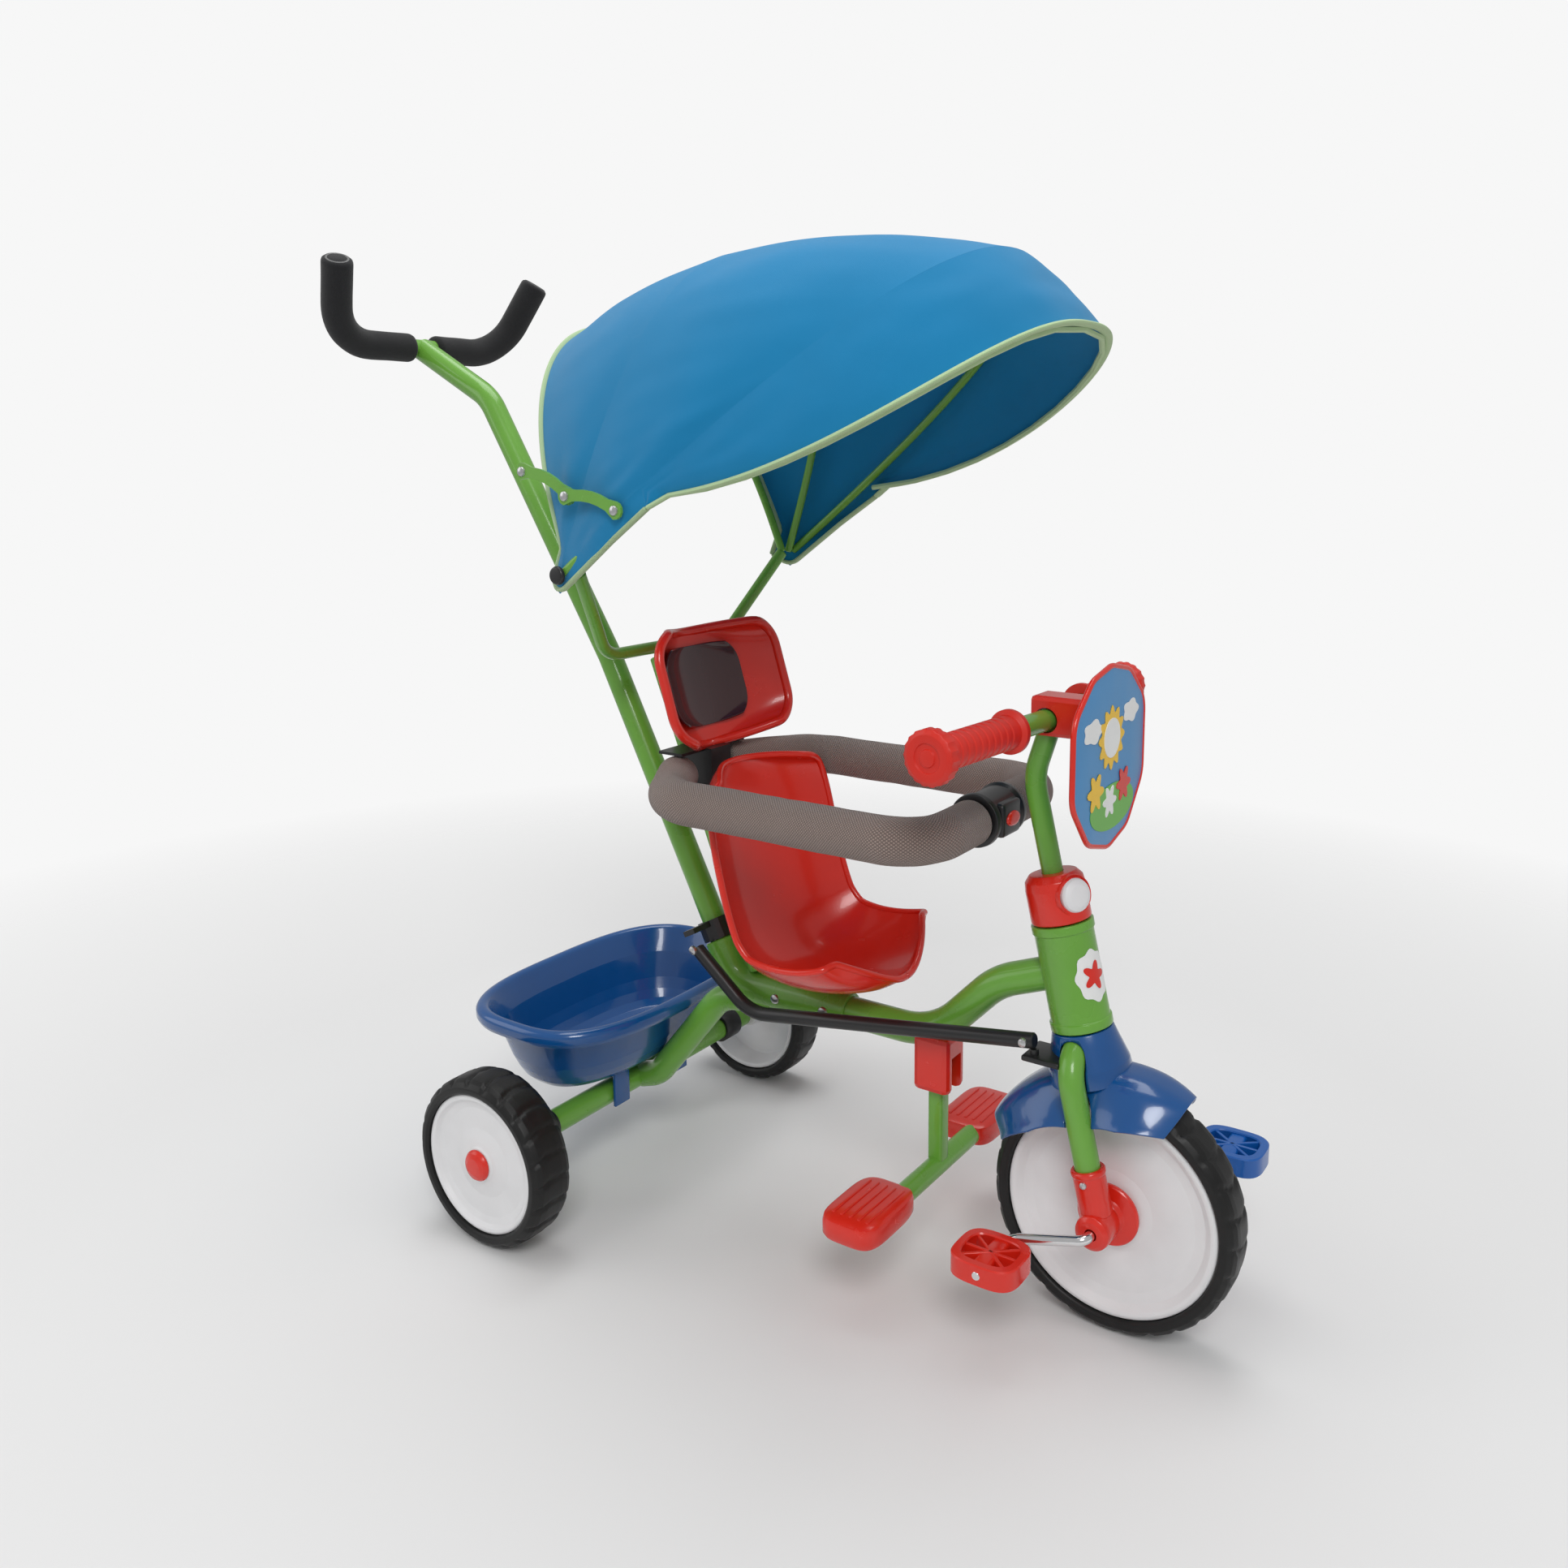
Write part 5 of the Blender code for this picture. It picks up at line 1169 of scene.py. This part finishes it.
def build_handlebar():
    look = palette()
    centre = place(*BAR)
    sweep = math.radians(4.0)
    ends = [centre + Vector((-math.sin(sweep) * 0.203, side * math.cos(sweep) * 0.203, 0.0))
            for side in (-1, 1)]
    bar = tube("handlebar_tube", [ends[0], centre, ends[1]], 0.010)
    stem = tube("handlebar_stem", rounded([steer(0.2945), steer(0.410), centre], 0.060), 0.0102)
    finished(join([bar, stem], "handlebar_tubes"), look.green, "steering", ["handlebar"], "green_paint")
    for end, word in zip(ends, ("right", "left")):
        profile = [(0.0, 0.0035), (0.0070, 0.0035), (0.0076, 0.0020), (0.0120, 0.0020), (0.0126, 0.0035),
                   (0.0195, 0.0035), (0.0235, 0.0015), (0.0235, -0.0090), (0.0175, -0.0110),
                   (0.0155, -0.0160)]
        for i in range(GRIP_GROOVES):
            start = -0.024 - i * 0.0100
            profile += [(0.0155, start), (0.0147, start - 0.0012), (0.0147, start - 0.0028),
                        (0.0155, start - 0.0040)]
        profile += [(0.0155, -0.1200), (0.0200, -0.1220), (0.0200, -0.1280), (0.0103, -0.1280)]
        grip = lathe("hand_grip_" + word, eased(profile, 0.0010, 2), end, end - centre, steps=56,
                     ripple=lambda turn, r, h: 0.0006 * math.cos(18 * turn) if r > 0.021 else 0.0)
        finished(grip, look.red_soft, "steering", ["grip_" + word], "red_plastic")

    outline = plate_points()
    middle = place(*PLATE)

    def plate_shape(u, v):
        edge = along_path(outline + outline[:1], u)
        steps = ((0.0, 0.002), (0.55, 0.002), (0.97, 0.002), (1.0, 0.0012), (1.0, -0.002), (0.0, -0.002))
        share, out = steps[round(v * 5)]
        return middle + (edge - middle) * share + Vector((out, 0.0, 0.0))

    plate = surface("handlebar_plate", 160, 5, plate_shape)
    finished(plate, look.plate, "steering", ["front_plate"], "plate_blue")
    edge = [point + Vector((0.0003, 0.0, 0.0)) for point in outline + outline[:2]]
    rim = tube("plate_rim", [middle + (p - middle) * 0.992 for p in edge], 0.0026, sides=12)
    finished(rim, look.red, "steering", slot="red_plastic")
    face = place(PLATE[0] + 0.0022, PLATE[1])
    for name, fore, side, rise, radius, thick, material, squash, petals, depth in (
            ("hill", 0.0, 0.006, -0.046, 0.050, 0.0004, look.leaf, 0.42, 0, 0.0),
            ("sun", 0.0, 0.0, 0.018, 0.026, 0.0006, look.yellow, 1.0, 12, 0.14),
            ("sun_face", 0.0003, 0.0, 0.018, 0.018, 0.0008, look.cream, 1.0, 0, 0.0),
            ("cloud_left", 0.0, 0.044, 0.036, 0.017, 0.0005, look.cream, 0.6, 5, 0.12),
            ("cloud_right", 0.0, -0.042, 0.030, 0.019, 0.0005, look.cream, 0.55, 5, 0.12),
            ("flower_left", 0.0003, 0.030, -0.030, 0.013, 0.0007, look.red, 1.0, 6, 0.28),
            ("flower_right", 0.0003, -0.034, -0.026, 0.014, 0.0007, look.yellow, 1.0, 6, 0.28),
            ("flower_mid", 0.0003, -0.002, -0.040, 0.012, 0.0007, look.cream, 1.0, 6, 0.28)):
        disc_shape("plate_" + name, face + Vector((fore, side, rise)), radius, thick, material, squash,
                   petals, depth)
    repaint(["plate_clamp"], look.red)


# ---------------------------------------------------------------- wheels
def tread(radius, half, blocks):
    """Slanted moulded grooves across the crown of a tyre."""
    def ripple(turn, at_radius, height):
        crown = max(0.0, (at_radius - (radius - 0.0080)) / 0.0080)
        slant = turn * blocks + math.copysign(1.0, height) * height / half * 2.2
        groove = max(0.0, math.sin(slant)) ** 5
        middle = 1.0 if abs(height) > half * 0.10 else 0.25
        return -0.0026 * groove * min(crown * 1.6, 1.0) * middle

    return ripple


def tyre(name, centre, out, radius, width, depth, body, node, blocks):
    half = width / 2
    bead = radius - depth
    points = [(bead, half - 0.002), (bead + 0.0025, half), (radius - 0.0080, half),
              (radius - 0.0030, half - 0.0040), (radius - 0.0006, half - 0.0090),
              (radius, half * 0.35), (radius, 0.0), (radius, -half * 0.35),
              (radius - 0.0006, 0.0090 - half), (radius - 0.0030, 0.0040 - half), (radius - 0.0080, -half),
              (bead + 0.0025, -half), (bead, 0.002 - half), (bead, half - 0.002)]
    steps = sizes().wheel_steps * 2
    ring = lathe(name, eased(points, 0.0030, 3), centre, out, steps=steps, angle=45.0,
                 ripple=tread(radius, half, blocks))
    return finished(ring, palette().tyre, body, [node], "black_tyre")


def disc(name, centre, out, edge, half, boss, face_out, web, body, node, bore):
    """A dished plastic disc: rim lip, smooth cone, and a boss at the middle."""
    face = half - 0.0035
    points = [(bore, face_out), (boss, face_out), (boss + 0.002, face_out - 0.002),
              (boss + 0.006, face - 0.0030), (boss + 0.020, face - 0.0060), (edge - 0.016, face - 0.0065),
              (edge - 0.0090, face - 0.0050), (edge - 0.0060, face - 0.0005), (edge - 0.0030, face),
              (edge, face - 0.0010), (edge, -face), (edge - 0.006, -face), (edge - 0.010, web),
              (boss + 0.004, web), (boss, -half + 0.002), (bore, -half + 0.002), (bore, face_out)]
    item = lathe(name, eased(points, 0.0022, 3), centre, out, steps=sizes().wheel_steps)
    return finished(item, palette().white, body, [node], "white_plastic")


def build_rear_wheels():
    look = palette()
    for side, word in SIDES:
        body = "rear_wheel_" + word
        centre = place(0.0, REAR_RADIUS, side * REAR_SIDE)
        out = LEFT * side
        tyre("rear_foam_tyre_" + word, centre, out, REAR_RADIUS, 0.050, 0.0155, body,
             "rear_tyre_" + word, 22)
        disc("rear_wheel_disc_" + word, centre, out, 0.0747, 0.025, 0.017, 0.0212, 0.006, body,
             "rear_disc_" + word, 0.0056)
        cap = [(0.0, 0.0072), (0.0090, 0.0068), (0.0140, 0.0050), (0.0165, 0.0020), (0.0165, 0.0),
               (0.0, 0.0)]
        item = lathe("hub_cap_" + word, eased(cap, 0.002), centre + out * 0.0215, out)
        finished(item, look.red, body, ["rear_cap_" + word], "red_plastic")


def crank_arm(side):
    """From the front axle out to one pedal's pin, seen from the side."""
    return Vector((math.cos(CRANK_LEAN), 0.0, math.sin(CRANK_LEAN))) * side * CRANK_LENGTH


def pedal_centre(side):
    return place(WHEELBASE, FRONT_RADIUS, side * 0.119) + crank_arm(side)


def pedal_wall(middle):
    """The rounded outer wall of a pedal, thicker at its tread."""
    section = [(0.0, 0.0100), (-0.0062, 0.0100), (-0.0072, 0.0088), (-0.0058, 0.0), (-0.0072, -0.0088),
               (-0.0062, -0.0100), (0.0, -0.0100), (0.0012, -0.0088), (0.0012, 0.0088), (0.0, 0.0100)]

    def shape(u, v):
        grow, rise = section[round(v * 9)]
        x, y = oval_point(0.0318 + grow, 0.0275 + grow, 3.4, 2.0 * math.pi * u)
        return middle + Vector((x, y, rise))

    return surface("pedal_wall", 72, 9, shape)


def build_front_wheel():
    look = palette()
    centre = place(WHEELBASE, FRONT_RADIUS)
    tyre("front_foam_tyre", centre, LEFT, FRONT_RADIUS, 0.046, 0.0165, "front_wheel", "front_tyre", 26)
    points = [(0.0052, 0.0190), (0.020, 0.0190), (0.026, 0.0155), (0.040, 0.0130), (0.080, 0.0125),
              (0.090, 0.0140), (0.0960, 0.0190), (0.0990, 0.0197), (0.1032, 0.0190)]
    profile = points + [(r, -h) for r, h in reversed(points)] + points[:1]
    item = lathe("front_wheel_disc", eased(profile, 0.0025, 3), centre, LEFT, steps=sizes().wheel_steps)
    finished(item, look.white, "front_wheel", ["front_disc"], "white_plastic")
    for side, word in SIDES:
        out = LEFT * side
        flange = [(0.0052, 0.0110), (0.0145, 0.0110), (0.0160, 0.0085), (0.0175, 0.0062), (0.0285, 0.0050),
                  (0.0300, 0.0035), (0.0300, 0.0), (0.0052, 0.0), (0.0052, 0.0110)]
        item = lathe("front_hub_flange_" + word, eased(flange, 0.0008, 2), centre + out * 0.0193, out)
        finished(item, look.red, "front_wheel", ["hub_flange_" + word], "red_plastic")
    run = []
    for side in (1, -1):
        lean = crank_arm(side)
        half = [centre + LEFT * (side * 0.148) + lean, centre + LEFT * (side * 0.080) + lean,
                centre + LEFT * (side * 0.073)]
        run += half if side > 0 else half[::-1]
    crank = tube("crank_and_axle", rounded(run, 0.010, 8), 0.0048, sides=20)
    finished(crank, look.chrome, "front_wheel", ["crank_axle"], "chrome")
    for side, word, material, slot in ((1, "left", look.pedal_blue, "blue_plastic"),
                                       (-1, "right", look.red, "red_plastic")):
        middle = pedal_centre(side)
        pieces = [pedal_wall(middle)]
        pieces.append(block("pedal_barrel", middle + Vector((-0.0085, -0.0275, -0.0080)),
                            middle + Vector((0.0085, 0.0275, 0.0080)), 0.0035))
        for turn in (0.0, 38.0, -38.0):
            spoke = block("pedal_spoke", Vector((-0.0300, -0.0016, -0.0085)),
                          Vector((0.0300, 0.0016, 0.0085)), 0.0008, (0.0, 0.0, math.radians(turn)))
            spoke.location = middle
            pieces.append(settle(spoke))
        finished(join(pieces, "pedal_body_" + word), material, "pedal_" + word, ["pedal_" + word], slot)


# ---------------------------------------------------------------- push pole
def handle_line():
    junction = place(*HANDLE)
    along = (junction - place(*POLE_KNEES[1])).normalized()
    rise = Vector((-along.z, 0.0, along.x))
    if rise.z < 0:
        rise.negate()
    halves = []
    for way in (-1, 1):
        halves.append([junction + LEFT * (way * 0.145) + rise * 0.098, junction + LEFT * (way * 0.119)])
    return junction, halves


def build_pole():
    look = palette()
    foot = place(*POLE_MOUTH) - POLE_AXIS * 0.030
    junction, halves = handle_line()
    line = rounded([foot, *(place(*knee) for knee in POLE_KNEES), junction], 0.060)
    pole = tube("pole_tube", line, 0.0135)
    tips = [tip + (corner - tip).normalized() * 0.004 for tip, corner in halves]
    bar = tube("pole_handle", rounded([tips[0], halves[0][1], halves[1][1], tips[1]], 0.060), 0.011)
    finished(join([pole, bar], "pole_and_handle"), look.green, "push_pole", ["pole"], "green_paint")
    for side, word in SIDES:
        tip, corner = halves[(side + 1) // 2]
        start = junction + LEFT * (side * 0.0165)
        path = rounded([start, corner, tip], 0.060, 14)
        foam = soft_tube("handle_foam_" + word, path, 0.0172, 90, 0.0004, 40)
        finished(foam, look.foam, "push_pole", ["foam_grip_" + word], "black_foam")
        way = (path[-1] - path[-2]).normalized()
        cap = [(0.0, -0.0012), (0.0098, -0.0012), (0.0105, 0.0004), (0.0128, 0.0004), (0.0132, -0.0010),
               (0.0132, -0.006), (0.0, -0.006)]
        item = lathe("handle_end_cap_" + word, eased(cap, 0.0005, 2), path[-1], way, steps=40)
        finished(item, look.grey, "push_pole", slot="black_plastic")
    repaint(["pole_crank"], look.black)
    line = rounded([place(*LINK_REAR, -LINK_SIDE), place(0.195, 0.226, -LINK_SIDE),
                    place(0.528, 0.2785, -LINK_SIDE)], 0.050)
    link = tube("steering_link", line, 0.0075)
    finished(link, look.black, "link_rod", ["link_rod"], "black_plastic")
    screw_head("link_bolt", place(*LINK_REAR, -0.0455), -LEFT, 0.0050, "link_rod")
    screw_head("link_front_bolt", place(0.519, 0.2771, -0.0453), -LEFT, 0.0046, "link_rod")


# ---------------------------------------------------------------- stage
def build_stage():
    bpy.ops.mesh.primitive_plane_add(size=30.0, location=(0.0, 0.0, -0.0004))
    floor = bpy.context.active_object
    floor.name = "floor"
    finish = Finish("floor_paper", 0.95, specular=0.0)
    finish.plain((0.80, 0.80, 0.80))
    x, y, _ = finish.split(finish.coordinate())
    away = (x * x + y * y).work("SQRT")
    fade = (away * -0.9 + 1.75).least(1.0).most(0.0)
    finish.tree.links.new(fade.socket, finish.shader.inputs["Alpha"])
    floor.data.materials.append(finish.material)
    floor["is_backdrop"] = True

    world = bpy.data.worlds.new("studio")
    bpy.context.scene.world = world
    world.use_nodes = True
    back = world.node_tree.nodes["Background"]
    back.inputs[0].default_value = (1.0, 1.0, 1.0, 1.0)
    path = world.node_tree.nodes.new("ShaderNodeLightPath")
    strength = Field(world.node_tree, path.outputs["Is Camera Ray"]) * 0.48 + 0.45
    world.node_tree.links.new(strength.socket, back.inputs[1])
    for name, where, size, power in (("key", (1.8, -2.2, 2.8), 1.2, 46.0),
                                     ("fill", (-2.6, -1.8, 1.8), 2.0, 16.0),
                                     ("top", (-0.2, 0.4, 3.2), 2.0, 40.0)):
        bpy.ops.object.light_add(type="AREA", location=where)
        lamp = bpy.context.active_object
        lamp.name = "light_" + name
        lamp.data.size = size
        lamp.data.energy = power
        aim = Vector((0.0, 0.0, 0.5)) - Vector(where)
        lamp.rotation_euler = aim.to_track_quat("-Z", "Y").to_euler()
        lamp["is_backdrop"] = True

    bpy.ops.object.camera_add(location=place(*CAMERA_AT))
    camera = bpy.context.active_object
    camera.name = "camera"
    level = math.cos(CAMERA_PITCH)
    look = Vector((-math.sin(CAMERA_YAW) * level, math.cos(CAMERA_YAW) * level,
                   -math.sin(CAMERA_PITCH)))
    camera.rotation_euler = look.to_track_quat("-Z", "Y").to_euler()
    camera.data.lens = LENS
    camera.data.sensor_width = SENSOR
    camera.data.shift_x, camera.data.shift_y = CAMERA_SHIFT
    camera.data.clip_end = 60.0
    bpy.context.scene.camera = camera
    bpy.context.scene.view_settings.view_transform = "Standard"


# ---------------------------------------------------------------- operators
class TricycleOperator(bpy.types.Operator):
    """Builds one group of the tricycle's pieces."""

    bl_options = {"REGISTER", "UNDO"}


class TRICYCLE_OT_frame(TricycleOperator):
    """Frame tubes, head tube and axle"""

    bl_idname = "tricycle.frame"
    bl_label = "Frame"

    def execute(self, context):
        build_frame()
        return {"FINISHED"}


class TRICYCLE_OT_seat(TricycleOperator):
    """Bucket seat and backrest"""

    bl_idname = "tricycle.seat"
    bl_label = "Seat"

    def execute(self, context):
        build_seat()
        return {"FINISHED"}


class TRICYCLE_OT_ring(TricycleOperator):
    """Padded safety ring and its buckle"""

    bl_idname = "tricycle.ring"
    bl_label = "Safety Ring"

    def execute(self, context):
        build_ring()
        return {"FINISHED"}


class TRICYCLE_OT_basket(TricycleOperator):
    """Rear basket"""

    bl_idname = "tricycle.basket"
    bl_label = "Basket"

    def execute(self, context):
        build_basket()
        return {"FINISHED"}


class TRICYCLE_OT_footrest(TricycleOperator):
    """Folding footrest"""

    bl_idname = "tricycle.footrest"
    bl_label = "Footrest"

    def execute(self, context):
        build_footrest()
        return {"FINISHED"}


class TRICYCLE_OT_canopy(TricycleOperator):
    """Canopy bows, cloth, hems and folding stays"""

    bl_idname = "tricycle.canopy"
    bl_label = "Canopy"

    def execute(self, context):
        build_canopy()
        build_stays()
        return {"FINISHED"}


class TRICYCLE_OT_fork(TricycleOperator):
    """Fork, mudguard and release collar"""

    bl_idname = "tricycle.fork"
    bl_label = "Fork"

    def execute(self, context):
        build_fork()
        return {"FINISHED"}


class TRICYCLE_OT_handlebar(TricycleOperator):
    """Handlebar, grips and front plate"""

    bl_idname = "tricycle.handlebar"
    bl_label = "Handlebar"

    def execute(self, context):
        build_handlebar()
        return {"FINISHED"}


class TRICYCLE_OT_front_wheel(TricycleOperator):
    """Front wheel, cranks and pedals"""

    bl_idname = "tricycle.front_wheel"
    bl_label = "Front Wheel"

    def execute(self, context):
        build_front_wheel()
        return {"FINISHED"}


class TRICYCLE_OT_rear_wheels(TricycleOperator):
    """Both rear wheels"""

    bl_idname = "tricycle.rear_wheels"
    bl_label = "Rear Wheels"

    def execute(self, context):
        build_rear_wheels()
        return {"FINISHED"}


class TRICYCLE_OT_pole(TricycleOperator):
    """Push pole, foam handle and steering link"""

    bl_idname = "tricycle.pole"
    bl_label = "Push Pole"

    def execute(self, context):
        build_pole()
        return {"FINISHED"}


class TRICYCLE_OT_stage(TricycleOperator):
    """Floor, lights and camera"""

    bl_idname = "tricycle.stage"
    bl_label = "Stage"

    def execute(self, context):
        build_stage()
        return {"FINISHED"}


OPERATORS = (TRICYCLE_OT_frame, TRICYCLE_OT_seat, TRICYCLE_OT_ring, TRICYCLE_OT_basket,
             TRICYCLE_OT_footrest, TRICYCLE_OT_canopy, TRICYCLE_OT_fork, TRICYCLE_OT_handlebar,
             TRICYCLE_OT_front_wheel, TRICYCLE_OT_rear_wheels, TRICYCLE_OT_pole, TRICYCLE_OT_stage)


class TRICYCLE_PT_panel(bpy.types.Panel):
    """The tricycle's settings and builders"""

    bl_label = "Tricycle"
    bl_space_type = "VIEW_3D"
    bl_region_type = "UI"
    bl_category = "Tricycle"

    def draw(self, context):
        column = self.layout.column()
        for key in TricyclePaint.__annotations__:
            column.prop(context.scene.tricycle_paint, key)
        for key in TricycleSizes.__annotations__:
            column.prop(context.scene.tricycle_sizes, key)
        for operator in OPERATORS:
            column.operator(operator.bl_idname)


CLASSES = (TricyclePaint, TricycleSizes, *OPERATORS, TRICYCLE_PT_panel)


def register():
    for item in CLASSES:
        bpy.utils.register_class(item)
    bpy.types.Scene.tricycle_paint = PointerProperty(type=TricyclePaint)
    bpy.types.Scene.tricycle_sizes = PointerProperty(type=TricycleSizes)


def unregister():
    del bpy.types.Scene.tricycle_sizes
    del bpy.types.Scene.tricycle_paint
    for item in reversed(CLASSES):
        bpy.utils.unregister_class(item)


def corners(pair):
    return [[round(value, 5) for value in corner] for corner in pair]


def main():
    register()
    before = corners(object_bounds())
    bpy.ops.tricycle.frame()
    bpy.ops.tricycle.seat()
    bpy.ops.tricycle.ring()
    bpy.ops.tricycle.basket()
    bpy.ops.tricycle.footrest()
    bpy.ops.tricycle.canopy()
    bpy.ops.tricycle.fork()
    bpy.ops.tricycle.handlebar()
    bpy.ops.tricycle.front_wheel()
    bpy.ops.tricycle.rear_wheels()
    bpy.ops.tricycle.pole()
    bpy.ops.tricycle.stage()
    after = corners(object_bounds())


if __name__ == "__main__":
    main()
